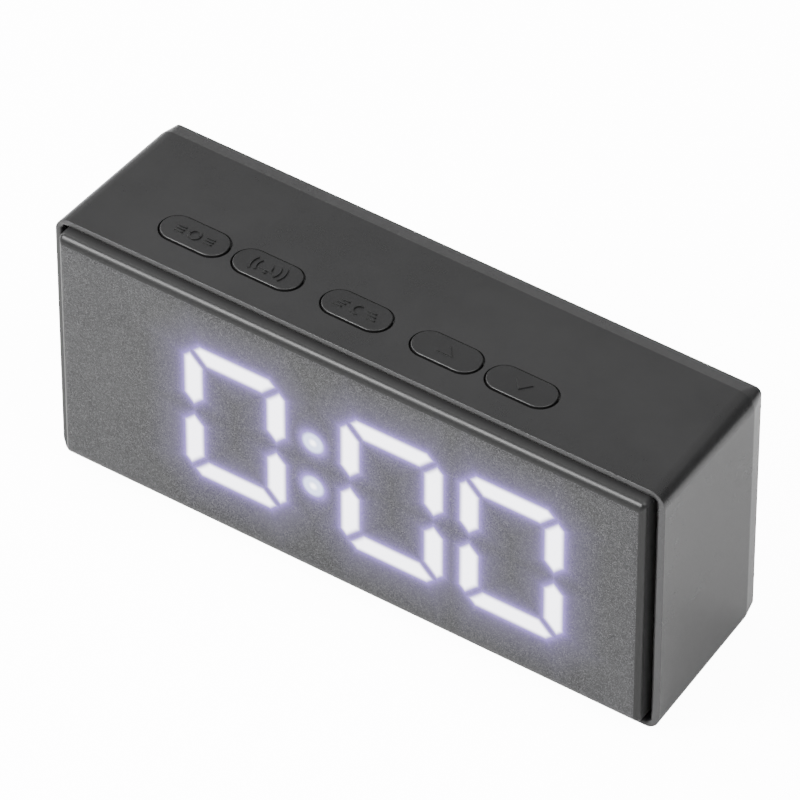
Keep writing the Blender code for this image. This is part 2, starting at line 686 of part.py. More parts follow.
def build_front_panel():
    """Panel: a shallow cap with a rounded front edge, open at the back."""
    panel = plate("front_panel", [round_rectangle(PANEL_LENGTH, PANEL_HEIGHT, PANEL_CORNER_RADIUS,
                                                  (PANEL_X, PANEL_Z))],
                  PANEL_FRONT_Y, PANEL_PROUD + PANEL_INSIDE, "Y", CLOCK, PANEL_PLASTIC)
    round_edges(panel, PANEL_EDGE_RADIUS, SMALL_STEPS,
                lambda place: place.y < PANEL_FRONT_Y + GAP / 2)
    inside = plate("panel_inside", [round_rectangle(PANEL_LENGTH - 2 * PANEL_SKIRT,
                                                    PANEL_HEIGHT - 2 * PANEL_SKIRT,
                                                    PANEL_CORNER_RADIUS - PANEL_EDGE_RADIUS,
                                                    (PANEL_X, PANEL_Z))],
                   PANEL_FRONT_Y + PANEL_FACE, PANEL_PROUD + PANEL_INSIDE, "Y")
    return cut(panel, inside)


def level_segment(x, z, side, grow):
    """A top (side 1) or bottom (side -1) segment, mitred at both ends."""
    half = SEGMENT_WIDTH / 2 + grow
    back_off = SEGMENT_GAP / math.sqrt(2) - grow * math.sqrt(2)
    outer = DIGIT_WIDTH / 2 + half - back_off
    inner = DIGIT_WIDTH / 2 - half - back_off
    chamfer = SEGMENT_CHAMFER
    corners = [
        (-inner, -half),
        (inner, -half),
        (outer - chamfer / 2, half - chamfer / 2),
        (outer - chamfer, half),
        (-outer + chamfer, half),
        (-outer + chamfer / 2, half - chamfer / 2),
    ]
    middle = z + side * DIGIT_HEIGHT / 2
    outline = [(x + across, middle + side * up) for across, up in corners]
    return outline if side > 0 else outline[::-1]


def upright_segment(x, z, side_x, side_z, grow):
    """A side segment: mitred at the digit's corner, pointed at its middle."""
    half = SEGMENT_WIDTH / 2 + grow
    back_off = SEGMENT_GAP / math.sqrt(2) - grow * math.sqrt(2)
    outer = DIGIT_HEIGHT / 2 + half - back_off
    inner = DIGIT_HEIGHT / 2 - half - back_off
    tip = SEGMENT_TIP_GAP / 2 - grow
    chamfer = SEGMENT_CHAMFER
    corners = [
        (0, tip),
        (half, tip + half),
        (half, outer - chamfer),
        (half - chamfer / 2, outer - chamfer / 2),
        (-half, inner),
        (-half, tip + half),
    ]
    middle = x + side_x * DIGIT_WIDTH / 2
    outline = [(middle + side_x * across, z + side_z * up) for across, up in corners]
    return outline if side_x * side_z > 0 else outline[::-1]


def middle_segment(x, z, grow):
    """The bar across the middle, pointed at both ends."""
    half = SEGMENT_WIDTH / 2 + grow
    tip = DIGIT_WIDTH / 2 - SEGMENT_TIP_GAP / 2 + grow
    return [(x - tip, z), (x - tip + half, z - half), (x + tip - half, z - half),
            (x + tip, z), (x + tip - half, z + half), (x - tip + half, z + half)]


def display_outlines(grow):
    """Every segment and dot of the display, grown by a clearance."""
    z = DISPLAY_Z
    outlines = [upright_segment(DIGIT_X[0], z, 1, 1, grow), upright_segment(DIGIT_X[0], z, 1, -1, grow)]
    for x in DIGIT_X[1:]:
        outlines.append(middle_segment(x, z, grow))
        for side in (-1, 1):
            outlines.append(level_segment(x, z, side, grow))
            for side_x in (-1, 1):
                outlines.append(upright_segment(x, z, side_x, side, grow))
    for side in (-1, 1):
        outlines.append(circle(COLON_RADIUS + grow, (COLON_X, z + side * COLON_SPREAD / 2),
                               HALF_CIRCLE))
    return outlines


def display_block(name, front_y, back_y, margin, group, material):
    """A block behind the whole display."""
    return box(name, (DISPLAY_LEFT + margin, front_y, DISPLAY_LOW + margin),
               (DISPLAY_RIGHT - margin, back_y, DISPLAY_HIGH - margin), group, material)


def build_mask():
    """Mask: a black plate with one window per segment."""
    margin = 2 * (PANEL_SKIRT + GAP)
    outline = round_rectangle(PANEL_LENGTH - margin, PANEL_HEIGHT - margin,
                              PANEL_CORNER_RADIUS - PANEL_EDGE_RADIUS, (PANEL_X, PANEL_Z))
    mask = plate("light_mask", [outline], MASK_FRONT_Y, MASK_THICKNESS, "Y", CLOCK, MASK_PLASTIC)
    windows = plate("mask_windows", display_outlines(WINDOW_CLEARANCE), MASK_FRONT_Y - REACH,
                    MASK_THICKNESS + 2 * REACH, "Y")
    return cut(mask, windows)


def build_diffuser():
    """Diffuser: a milky sheet with one raised block in each window of the mask."""
    sheet = display_block("segment_diffuser", SHEET_FRONT_Y, SHEET_BACK_Y, 0, CLOCK, DIFFUSER_PLASTIC)
    blocks = plate("diffuser_blocks", display_outlines(0), MASK_FRONT_Y,
                   SHEET_FRONT_Y + DIFFUSER_SHEET / 2 - MASK_FRONT_Y, "Y")
    return join(sheet, blocks)


def build_reflector():
    """Reflector: a white grid that keeps the segments' light apart."""
    grid = display_block("reflector", REFLECTOR_FRONT_Y, REFLECTOR_BACK_Y, 0, CLOCK, REFLECTOR_PLASTIC)
    cells = plate("reflector_cells", display_outlines(0), REFLECTOR_FRONT_Y - REACH,
                  REFLECTOR_DEPTH + 2 * REACH, "Y")
    return cut(grid, cells)


def chip_places():
    """Where the light chips sit: two behind a segment, one behind a dot."""
    z = DISPLAY_Z
    quarter = DIGIT_HEIGHT / 4
    spread = DIGIT_WIDTH / 5
    places = []
    for index, x in enumerate(DIGIT_X):
        for side_x in (-1, 1):
            if index == 0 and side_x < 0:
                continue
            for side_z in (-1, 1):
                for step in (-1, 1):
                    places.append((x + side_x * DIGIT_WIDTH / 2, z + side_z * quarter + step * spread / 2))
        if index > 0:
            for level in (-1, 0, 1):
                for step in (-1, 1):
                    places.append((x + step * spread, z + level * DIGIT_HEIGHT / 2))
    for side in (-1, 1):
        places.append((COLON_X, z + side * COLON_SPREAD / 2))
    return places


def build_display_board():
    """Display board: laminate with its soldered light chips and a chip pad behind."""
    board = box("display_board", (DISPLAY_LEFT - BOARD_END, BOARD_FRONT_Y, BOARD_LOW),
                (DISPLAY_RIGHT + BOARD_END, BOARD_BACK_Y, BOARD_HIGH), CLOCK, BOARD_LAMINATE)
    half = CHIP_SIZE / 2
    outlines = []
    for x, z in chip_places():
        outlines.append([(x + half, z + half), (x - half, z + half), (x - half, z - half),
                         (x + half, z - half)])
    chips = plate("light_chips", outlines, BOARD_FRONT_Y - CHIP_HEIGHT, CHIP_HEIGHT + BOARD_THICKNESS / 2,
                  "Y")
    join(board, chips)
    holes = [circle(SMALL_SCREW_RADIUS + GAP, place, SMALL_CIRCLE) for place in board_screw_places()]
    return cut(board, plate("board_holes", holes, BOARD_FRONT_Y - REACH, BOARD_THICKNESS + 2 * REACH, "Y"))


def board_screw_places():
    """The display board's four screws, in its corners."""
    inset = SMALL_HEAD_RADIUS * 1.5
    left = DISPLAY_LEFT - BOARD_END + inset
    right = DISPLAY_RIGHT + BOARD_END - inset
    return [(x, z) for x in (left, right) for z in (BOARD_LOW + inset, BOARD_HIGH - inset)]


def build_front_frame():
    """Frame: a plate behind the panel's skirt, with four long screw posts."""
    y = FRAME_BACK_Y
    half = case_side(y) - SIDE_WALL - FRAME_CLEARANCE
    low = case_bottom(y) + BOTTOM_WALL + FRAME_CLEARANCE
    high = min(case_top(y) - TOP_WALL, FLANGE_LOW - KEY_TRAVEL) - FRAME_CLEARANCE
    frame = plate("front_frame", [round_rectangle(2 * half, high - low, RIM_CORNER_RADIUS,
                                                  (0, (low + high) / 2))],
                  FRAME_FRONT_Y, FRAME_THICKNESS, "Y", CLOCK, MASK_PLASTIC)
    window = box("frame_window", (DISPLAY_LEFT - GAP, FRAME_FRONT_Y - REACH, DISPLAY_LOW - GAP),
                 (DISPLAY_RIGHT + GAP, FRAME_BACK_Y + REACH, DISPLAY_HIGH + GAP))
    cut(frame, window)
    for index, (x, z) in enumerate(board_screw_places()):
        join(frame, cylinder(f"board_boss_{index}", SMALL_HEAD_RADIUS * 1.3,
                             (x, FRAME_BACK_Y - OVERLAP, z),
                             BOARD_FRONT_Y - GAP - FRAME_BACK_Y + OVERLAP, "Y", steps=HALF_CIRCLE))
    for column, x in enumerate(SCREW_X):
        for row, z in enumerate(SCREW_Z):
            join(frame, cylinder(f"post_{column}{row}", POST_RADIUS, (x, FRAME_BACK_Y - OVERLAP, z),
                                 POST_BACK_Y - FRAME_BACK_Y + OVERLAP, "Y"))
    pilots = [circle(SCREW_RADIUS + GAP, (x, z), HALF_CIRCLE) for x in SCREW_X for z in SCREW_Z]
    cut(frame, plate("post_pilots", pilots, POST_BACK_Y - SCREW_BITE - 2 * GAP,
                     SCREW_BITE + 2 * GAP + REACH, "Y"))
    small = [circle(SMALL_SCREW_RADIUS + GAP, place, SMALL_CIRCLE) for place in board_screw_places()]
    return cut(frame, plate("board_pilots", small, FRAME_FRONT_Y - REACH,
                            BOARD_FRONT_Y - FRAME_FRONT_Y + 2 * REACH, "Y"))


def build_board_parts():
    """The pieces on the back of the display board."""
    y = BOARD_BACK_Y + GAP
    chip = cylinder("controller_blob", BLOB_RADIUS, (BLOB_X, y, CASE_LOW + BLOB_UP), BLOB_HEIGHT, "Y",
                    CLOCK, CHIP_PLASTIC, end_radius=BLOB_TOP_RADIUS)
    crystal = cylinder("clock_crystal", CRYSTAL_RADIUS, (CRYSTAL_X, y + CRYSTAL_RADIUS,
                                                         CASE_LOW + CRYSTAL_UP),
                       CRYSTAL_LENGTH, "X", CLOCK, BRIGHT_STEEL, HALF_CIRCLE)
    capacitor = cylinder("supply_capacitor", CAPACITOR_RADIUS, (CAPACITOR_X, y,
                                                                CASE_LOW + CAPACITOR_UP),
                         CAPACITOR_LENGTH, "Y", CLOCK, LEAD_BLACK, HALF_CIRCLE)
    return chip, crystal, capacitor


# ---------------------------------------------------------------------------
# Keys
# ---------------------------------------------------------------------------


def build_key(name, x):
    """Key: a long round cap, a flange that keeps it in, and a short stem."""
    cap = plate(f"key_{name}", [round_rectangle(KEY_LENGTH, KEY_WIDTH, KEY_WIDTH, (x, KEY_Y), ROUND_STEPS)],
                FLANGE_LOW, KEY_TOP_Z - FLANGE_LOW, "Z", CLOCK, KEY_PLASTIC)
    round_edges(cap, KEY_TOP_RADIUS, 2, lambda place: place.z > KEY_TOP_Z - GAP / 2)
    flange = plate(f"flange_{name}", [round_rectangle(KEY_LENGTH + 2 * KEY_FLANGE,
                                                      KEY_WIDTH + 2 * KEY_FLANGE, KEY_WIDTH,
                                                      (x, KEY_Y), SMALL_STEPS)],
                   FLANGE_LOW, KEY_FLANGE_THICKNESS, "Z")
    stem = cylinder(f"stem_{name}", STEM_RADIUS, (x, KEY_Y, STEM_LOW), STEM_LENGTH + OVERLAP, "Z",
                    steps=HALF_CIRCLE)
    return join(cap, flange, stem)


def build_switch(name, x):
    """Switch: a square body with a round well, and the plunger that slides in it."""
    half = SWITCH_SIZE / 2
    body = box(f"switch_{name}", (x - half, KEY_Y - half, SWITCH_LOW), (x + half, KEY_Y + half, SWITCH_HIGH),
               CLOCK, CHIP_PLASTIC)
    well_low = SWITCH_HIGH - SWITCH_WELL
    well = cylinder(f"switch_well_{name}", PLUNGER_RADIUS + SLIDING_GAP, (x, KEY_Y, well_low),
                    SWITCH_WELL + REACH, "Z", steps=HALF_CIRCLE)
    cut(body, well)
    bottom = well_low + KEY_TRAVEL + GAP
    cylinder(f"plunger_{name}", PLUNGER_RADIUS, (x, KEY_Y, bottom), PLUNGER_HIGH - bottom, "Z", CLOCK,
             CHIP_PLASTIC, HALF_CIRCLE)
    return body


def build_key_board():
    """Key board: a strip under the switches, hung from two bosses."""
    half = KEY_BOARD_WIDTH / 2
    board = box("key_board", (KEY_BOARD_LEFT, KEY_Y - half, KEY_BOARD_LOW),
                (KEY_BOARD_RIGHT, KEY_Y + half, KEY_BOARD_HIGH), CLOCK, BOARD_LAMINATE)
    holes = [circle(SMALL_SCREW_RADIUS + GAP, (x, KEY_Y), SMALL_CIRCLE) for x in KEY_BOSS_X]
    return cut(board, plate("key_board_holes", holes, KEY_BOARD_LOW - REACH,
                            KEY_BOARD_THICKNESS + 2 * REACH, "Z"))


# ---------------------------------------------------------------------------
# Battery tray, door and contacts
# ---------------------------------------------------------------------------


def lug_places():
    """The two hinge lugs along the door's lower edge."""
    reach = DOOR_WIDTH / 2 - DOOR_LUG_WIDTH * 1.5
    return [TRAY_X - reach, TRAY_X + reach]


def build_tray():
    """Tray: a box open to the back, with a flange behind the case's rear wall."""
    outer_x = MOUTH_WIDTH / 2 + TRAY_WALL
    outer_z = MOUTH_HEIGHT / 2 + TRAY_WALL
    tray = box("battery_tray", (TRAY_X - outer_x, TRAY_FRONT_Y, TRAY_Z - outer_z),
               (TRAY_X + outer_x, TRAY_BACK_Y, TRAY_Z + outer_z), CLOCK, TRAY_PLASTIC)
    wide_x = DOOR_WIDTH / 2 + TRAY_FLANGE
    wide_z = DOOR_HEIGHT / 2 + TRAY_FLANGE
    flange = box("tray_flange", (TRAY_X - wide_x, TRAY_BACK_Y - TRAY_FLANGE_THICKNESS, TRAY_Z - wide_z),
                 (TRAY_X + wide_x, TRAY_BACK_Y, TRAY_Z + wide_z))
    join(tray, flange)
    hollow = box("tray_hollow", (TRAY_X - MOUTH_WIDTH / 2, TRAY_FRONT_Y + TRAY_WALL,
                                 TRAY_Z - MOUTH_HEIGHT / 2),
                 (TRAY_X + MOUTH_WIDTH / 2, TRAY_BACK_Y + REACH, TRAY_Z + MOUTH_HEIGHT / 2))
    cut(tray, hollow)
    half = DOOR_LUG_WIDTH / 2 + SLIDING_GAP
    slot_front = TRAY_BACK_Y - TRAY_FLANGE_THICKNESS
    slot_low = HINGE_Z - 2 * DOOR_LUG_REACH
    for index, x in enumerate(lug_places()):
        cut(tray, box(f"lug_slot_{index}", (x - half, slot_front, slot_low),
                      (x + half, TRAY_BACK_Y + REACH, TRAY_Z - MOUTH_HEIGHT / 2 + GAP)))
    return tray


def build_door():
    """Door: a plate in the rear wall with two lugs below it and a finger notch above.

    Its empty stands on the hinge line, along the plate's lower outer edge.
    """
    hinge = bpy.data.objects.new("door_hinge", None)
    CLOCK.objects.link(hinge)
    hinge.location = (TRAY_X, BACK_Y, HINGE_Z)
    settle(hinge)
    door = plate("battery_door", [round_rectangle(DOOR_WIDTH, DOOR_HEIGHT, DOOR_CORNER_RADIUS,
                                                  (TRAY_X, TRAY_Z))],
                 BACK_Y - DOOR_THICKNESS, DOOR_THICKNESS, "Y", CLOCK, CASE_PLASTIC)
    half = DOOR_LUG_WIDTH / 2
    tuck = OVERLAP / 4
    lug_back = BACK_INSIDE_Y - GAP
    lug_front = lug_back - DOOR_LUG_THICKNESS
    for index, x in enumerate(lug_places()):
        neck = box(f"lug_neck_{index}",
                   (x - half + tuck, lug_front + tuck, DOOR_LOW + tuck),
                   (x + half - tuck, BACK_Y - DOOR_THICKNESS + OVERLAP,
                    DOOR_LOW + DOOR_LUG_THICKNESS - tuck))
        tongue = box(f"lug_tongue_{index}", (x - half, lug_front, HINGE_Z - DOOR_LUG_REACH),
                     (x + half, lug_back, DOOR_LOW + DOOR_LUG_THICKNESS))
        join(neck, tongue)
        join(door, neck)
    notch_low = TRAY_Z + DOOR_HEIGHT / 2 - NOTCH_INSET - NOTCH_HEIGHT
    notch = cylinder("finger_notch", NOTCH_RADIUS, (TRAY_X, BACK_Y + NOTCH_RADIUS - NOTCH_DEPTH, notch_low),
                     NOTCH_HEIGHT, "Z")
    cut(door, notch)
    place = door.matrix_world.copy()
    door.parent = hinge
    door.matrix_world = place
    return settle(door)


def build_cell(index):
    """Cell: a jacketed can with a raised button at its flat contact's end."""
    side = FLAT_SIDE[index]
    z = CELL_Z[index]
    start = TRAY_X + side * (MOUTH_WIDTH / 2 - GAP - CONTACT_THICKNESS - GAP)
    body_end = start - side * CELL_BUTTON_HEIGHT
    body_length = CELL_LENGTH - CELL_BUTTON_HEIGHT
    low = min(body_end, body_end - side * body_length)
    cell = cylinder(f"battery_cell_{index + 1}", CELL_RADIUS, (low, CELL_Y, z), body_length, "X",
                    CLOCK, CELL_JACKET)
    button_low = min(start, body_end - side * OVERLAP)
    return join(cell, cylinder(f"cell_button_{index}", CELL_BUTTON_RADIUS, (button_low, CELL_Y, z),
                               CELL_BUTTON_HEIGHT + OVERLAP, "X", steps=SMALL_CIRCLE))


def build_contacts(index):
    """One flat contact and one coil spring for a cell."""
    side = FLAT_SIDE[index]
    z = CELL_Z[index]
    half = CONTACT_SIZE / 2
    flat = TRAY_X + side * (MOUTH_WIDTH / 2 - GAP)
    low = min(flat, flat - side * CONTACT_THICKNESS)
    box(f"contact_flat_{index + 1}", (low, CELL_Y - half, z - half),
        (low + CONTACT_THICKNESS, CELL_Y + half, z + half), CLOCK, BRIGHT_STEEL)
    wall = TRAY_X - side * (MOUTH_WIDTH / 2 - GAP)
    plate_low = min(wall, wall + side * CONTACT_THICKNESS)
    leaf = box(f"contact_spring_{index + 1}", (plate_low, CELL_Y - half, z - half),
               (plate_low + CONTACT_THICKNESS, CELL_Y + half, z + half), CLOCK, SPRING_STEEL)
    inner = wall + side * (CONTACT_THICKNESS + SPRING_WIRE_RADIUS / 2)
    cell_end = TRAY_X + side * (MOUTH_WIDTH / 2 - 2 * GAP - CONTACT_THICKNESS) - side * CELL_LENGTH
    outer = cell_end - side * (GAP + SPRING_WIRE_RADIUS)
    steps = SPRING_TURNS * SPRING_STEPS
    curve = bpy.data.curves.new(f"spring_coil_{index}", "CURVE")
    curve.dimensions = "3D"
    curve.bevel_depth = SPRING_WIRE_RADIUS
    curve.bevel_resolution = 2
    curve.use_fill_caps = True
    spline = curve.splines.new("POLY")
    spline.points.add(steps)
    for step in range(steps + 1):
        share = step / steps
        angle = 2 * math.pi * SPRING_TURNS * share
        radius = SPRING_RADIUS * (1 - SPRING_TAPER * share)
        spline.points[step].co = (inner + (outer - inner) * share, CELL_Y + radius * math.cos(angle),
                                  z + radius * math.sin(angle), 1)
    drawing = new_object(f"spring_coil_{index}_path", curve, CUTTERS)
    coil = solid_from_curve(f"spring_coil_{index}", drawing, CUTTERS, None)
    return join(leaf, coil)


# ---------------------------------------------------------------------------
# Socket, buzzer, feet, screws and leads
# ---------------------------------------------------------------------------


def build_power_board():
    """Supply board: a small board that lies flat behind the socket."""
    half = POWER_BOARD_LENGTH / 2
    board = box("power_board", (SOCKET_X - half, POWER_BOARD_FRONT_Y, POWER_BOARD_LOW),
                (SOCKET_X + half, POWER_BOARD_BACK_Y, POWER_BOARD_HIGH), CLOCK, BOARD_LAMINATE)
    return board


def build_socket():
    """Supply socket: a flat steel sleeve with a tongue inside, open to the back."""
    low = (SOCKET_X - SOCKET_WIDTH / 2, BACK_Y - GAP - SOCKET_DEPTH, SOCKET_Z - SOCKET_HEIGHT / 2)
    high = (SOCKET_X + SOCKET_WIDTH / 2, BACK_Y - GAP, SOCKET_Z + SOCKET_HEIGHT / 2)
    sleeve = box("supply_socket", low, high, CLOCK, BRIGHT_STEEL)
    inner_low = (low[0] + SOCKET_SHELL, low[1] + SOCKET_END, low[2] + SOCKET_SHELL)
    inner_high = (high[0] - SOCKET_SHELL, high[1] + REACH, high[2] - SOCKET_SHELL)
    cut(sleeve, box("socket_hollow", inner_low, inner_high))
    half_width = TONGUE_WIDTH / 2
    half_thick = TONGUE_THICKNESS / 2
    tongue = box("socket_tongue", (SOCKET_X - half_width, low[1] + SOCKET_END / 2, SOCKET_Z - half_thick),
                 (SOCKET_X + half_width, high[1] - TONGUE_INSET, SOCKET_Z + half_thick))
    return join(sleeve, tongue)


def build_buzzer():
    """Buzzer: a round case glued inside the rear wall, behind the sound holes."""
    back = BACK_INSIDE_Y - GAP
    case = cylinder("buzzer", BUZZER_RADIUS, (BUZZER_X, back - BUZZER_DEPTH, BUZZER_Z), BUZZER_DEPTH, "Y",
                    CLOCK, CHIP_PLASTIC)
    mouth = cylinder("buzzer_mouth", SOUND_RING_RADIUS + SOUND_HOLE_RADIUS,
                     (BUZZER_X, back - BUZZER_DEPTH / 2, BUZZER_Z), BUZZER_DEPTH, "Y")
    return cut(case, mouth)


def build_feet():
    """Four rubber feet, as tall as the case's leaning bottom asks."""
    feet = []
    rows = {"front": RIM_Y + FOOT_INSET_FRONT, "rear": BACK_Y - FOOT_INSET_BACK}
    columns = {"left": -HALF_LENGTH + FOOT_INSET_X, "right": HALF_LENGTH - FOOT_INSET_X}
    for row, y in rows.items():
        for column, x in columns.items():
            foot = cylinder(f"foot_{row}_{column}", FOOT_RADIUS, (x, y, 0), FOOT_STANDOFF, "Z", CLOCK,
                            RUBBER, HALF_CIRCLE)
            for vertex in foot.data.vertices:
                if vertex.co.z > FOOT_STANDOFF / 2:
                    vertex.co.z = case_bottom(y + vertex.co.y) - GAP
            feet.append(foot)
    return feet


def build_screw(name, place, axis_sign, axis, radius, length, head_radius, head_height):
    """Screw: a shank and a head with a cross slot. The place is under the head."""
    direction = {"X": Vector((1, 0, 0)), "Y": Vector((0, 1, 0)), "Z": Vector((0, 0, 1))}[axis]
    direction = direction * axis_sign
    place = Vector(place)
    head_start = place if axis_sign > 0 else place + direction * head_height
    head = cylinder(name, head_radius, head_start, head_height, axis, CLOCK, BRIGHT_STEEL, HALF_CIRCLE)
    shank_far = place - direction * length
    shank_start = shank_far if axis_sign > 0 else place + direction * OVERLAP
    shank = cylinder(name + "_shank", radius, shank_start, length + OVERLAP, axis, steps=10)
    join(head, shank)
    top = place + direction * head_height
    wide = head_radius * SLOT_REACH
    thin = head_radius * SLOT_WIDTH
    deep = head_height * SLOT_DEPTH
    sizes = {"Y": (Vector((wide, deep, thin)), Vector((thin, deep, wide))),
             "Z": (Vector((wide, thin, deep)), Vector((thin, wide, deep)))}[axis]
    slots = [box(f"{name}_slot_{index}", top - size, top + size) for index, size in enumerate(sizes)]
    return cut(head, *slots)


def build_screws():
    """Four rear screws, four board screws and two key board screws."""
    number = 0
    for x in SCREW_X:
        for z in SCREW_Z:
            number += 1
            build_screw(f"rear_screw_{number}", (x, WELL_FLOOR_Y + GAP, z), 1, "Y", SCREW_RADIUS,
                        WELL_FLOOR_Y + GAP - POST_BACK_Y + SCREW_BITE, SCREW_HEAD_RADIUS,
                        SCREW_HEAD_HEIGHT)
    for number, (x, z) in enumerate(board_screw_places()):
        build_screw(f"board_screw_{number + 1}", (x, BOARD_BACK_Y + GAP, z), 1, "Y", SMALL_SCREW_RADIUS,
                    SMALL_SCREW_LENGTH, SMALL_HEAD_RADIUS, SMALL_HEAD_HEIGHT)
    for number, x in enumerate(KEY_BOSS_X):
        build_screw(f"key_board_screw_{number + 1}", (x, KEY_Y, KEY_BOARD_LOW - GAP), -1, "Z",
                    SMALL_SCREW_RADIUS, SMALL_SCREW_LENGTH, SMALL_HEAD_RADIUS, SMALL_HEAD_HEIGHT)


def build_leads():
    """The wires between the battery contacts, the boards and the buzzer."""
    rest = GAP + LEAD_RADIUS               # from a surface to the middle of a lead on it
    tray_y = TRAY_FRONT_Y - rest
    tray_left = TRAY_X - MOUTH_WIDTH / 2 - TRAY_WALL
    board_right = SOCKET_X + POWER_BOARD_LENGTH / 2
    board_top = POWER_BOARD_HIGH + rest
    middle_x = (tray_left + board_right) / 2
    end_y = POWER_BOARD_FRONT_Y + 2 * LEAD_SPREAD
    for name, material, step in (("battery_lead_red", LEAD_RED, 0),
                                 ("battery_lead_black", LEAD_BLACK, 1)):
        drop = LEAD_SPREAD * (1 + 2 * step)
        lead(name, [(tray_left + LEAD_SPREAD, tray_y, TRAY_Z - drop),
                    (tray_left, tray_y, TRAY_Z - drop),
                    (middle_x, tray_y - LEAD_SPREAD * step, (TRAY_Z - drop + board_top) / 2),
                    (board_right - LEAD_SPREAD, end_y - LEAD_SPREAD * step, board_top),
                    (board_right - 2 * LEAD_SPREAD, end_y - LEAD_SPREAD * step, board_top)], material)
    buzzer_y = BACK_INSIDE_Y - GAP - BUZZER_DEPTH - rest
    lead("buzzer_lead", [(BUZZER_X + LEAD_SPREAD, buzzer_y, BUZZER_Z),
                         (BUZZER_X + LEAD_SPREAD, buzzer_y, BUZZER_Z - LEAD_SPREAD),
                         (SOCKET_X, buzzer_y - LEAD_SPREAD, (BUZZER_Z + board_top) / 2),
                         (SOCKET_X, end_y + LEAD_SPREAD, board_top),
                         (SOCKET_X, end_y, board_top)], LEAD_GREY)
    key_x = (KEY_X[3] + KEY_X[4]) / 2
    board_y = BOARD_BACK_Y + rest
    lead("key_board_lead", [(key_x, KEY_Y - LEAD_RADIUS, KEY_BOARD_LOW - rest),
                            (key_x, KEY_Y + 2 * LEAD_RADIUS, KEY_BOARD_LOW - rest),
                            (key_x, KEY_Y + 2 * LEAD_RADIUS, BOARD_HIGH - LEAD_SPREAD),
                            (key_x, board_y, BOARD_HIGH - 3 * LEAD_SPREAD),
                            (key_x, board_y, BOARD_HIGH - 4 * LEAD_SPREAD)], LEAD_GREY)
    supply_x = SOCKET_X - 2 * LEAD_SPREAD
    lead("supply_lead", [(supply_x, end_y, board_top),
                         (supply_x, end_y - LEAD_SPREAD / 2, board_top),
                         (supply_x + LEAD_SPREAD, (end_y + board_y) / 2, board_top + LEAD_SPREAD),
                         (supply_x + 2 * LEAD_SPREAD, board_y, board_top + 2 * LEAD_SPREAD),
                         (supply_x + 3 * LEAD_SPREAD, board_y, board_top + 2 * LEAD_SPREAD)], LEAD_GREY)


build_case()
build_front_panel()
build_mask()
build_diffuser()
build_reflector()
build_display_board()
build_front_frame()
build_board_parts()
for key_name, key_x in zip(KEY_NAMES, KEY_X):
    build_key(key_name, key_x)
    build_switch(key_name, key_x)
build_key_board()
build_tray()
build_door()
for cell in range(CELL_COUNT):
    build_cell(cell)
    build_contacts(cell)
build_power_board()
build_socket()
build_buzzer()
build_feet()
build_screws()
build_leads()
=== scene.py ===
# %% [markdown]
# # A desk alarm clock with a light display
#
# The working model of the clock comes first, as a fixed frame. It is correct in every size
# and joint, but its surfaces are plain. This lesson gives it its looks: fine surfaces for the
# case, the tinted panel, the keys and the battery door, and a painted finish for every piece.
# All lengths are in metres, the display faces -Y and +Z is up.

# %% Load the frame
import json
import math

import bmesh
import bpy
import numpy as np
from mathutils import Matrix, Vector


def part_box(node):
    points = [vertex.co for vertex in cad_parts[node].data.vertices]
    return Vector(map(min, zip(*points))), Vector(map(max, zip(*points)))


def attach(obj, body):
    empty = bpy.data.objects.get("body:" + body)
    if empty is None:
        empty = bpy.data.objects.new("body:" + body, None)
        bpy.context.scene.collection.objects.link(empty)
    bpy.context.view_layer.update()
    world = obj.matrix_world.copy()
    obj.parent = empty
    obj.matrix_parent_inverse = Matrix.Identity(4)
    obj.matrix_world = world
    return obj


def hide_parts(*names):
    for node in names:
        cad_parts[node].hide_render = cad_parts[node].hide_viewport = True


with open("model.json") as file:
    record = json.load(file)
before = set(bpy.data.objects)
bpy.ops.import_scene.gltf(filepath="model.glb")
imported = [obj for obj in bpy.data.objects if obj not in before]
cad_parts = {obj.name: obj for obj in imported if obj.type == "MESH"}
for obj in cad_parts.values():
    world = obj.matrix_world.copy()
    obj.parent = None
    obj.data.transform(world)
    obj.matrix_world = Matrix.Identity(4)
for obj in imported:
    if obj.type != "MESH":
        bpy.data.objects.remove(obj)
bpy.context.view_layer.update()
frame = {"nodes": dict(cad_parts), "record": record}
nodes = frame["nodes"]
MM = 0.001

# %% [markdown]
# ## Camera
#
# The clock is seen from above and from its right, through a long lens, so that parallel
# edges stay almost parallel. The camera sits on a ball round one target point, given by two
# angles and a distance. A track to the target turns it, and the same angles can be read back.

# %% Camera
AZIMUTH = math.radians(34.286)
ELEVATION = math.radians(42.964)
DISTANCE = 1.66814
LENS = 370.8
TARGET = Vector((0.01111, -0.0197, 0.06009))


def aim(thing, place, target):
    """Put a camera or a lamp at a place, with its -Z axis towards the target."""
    thing.location = place
    thing.rotation_euler = (target - place).to_track_quat("-Z", "Y").to_euler()


def on_ball(azimuth, elevation, distance):
    """A point at that distance from the origin: azimuth 0 is in front, 90 is on the right."""
    flat = distance * math.cos(elevation)
    return Vector((flat * math.sin(azimuth), -flat * math.cos(azimuth), distance * math.sin(elevation)))


camera_data = bpy.data.cameras.new("camera")
camera_data.lens = LENS
camera_data.sensor_width = 36.0
camera_data.clip_start = 0.1
camera_data.clip_end = 20.0
camera = bpy.data.objects.new("camera", camera_data)
bpy.context.scene.collection.objects.link(camera)
aim(camera, TARGET + on_ball(AZIMUTH, ELEVATION, DISTANCE), TARGET)
bpy.context.scene.camera = camera
print("camera at", [round(v, 3) for v in camera.location])

# %% [markdown]
# ## Surfaces from numbers
#
# Most pieces of a moulded product are one outline carried along a short path, growing and
# shrinking as it goes: a wall, a rounded edge, a face. So the main tool is a stack of rings.
# Each ring is a rectangle with round corners, worked out as one array of points, and the
# rings are joined by four-sided faces. The two end rings are closed with flat caps.

# %% Rings and skins
CORNER_STEPS = 9


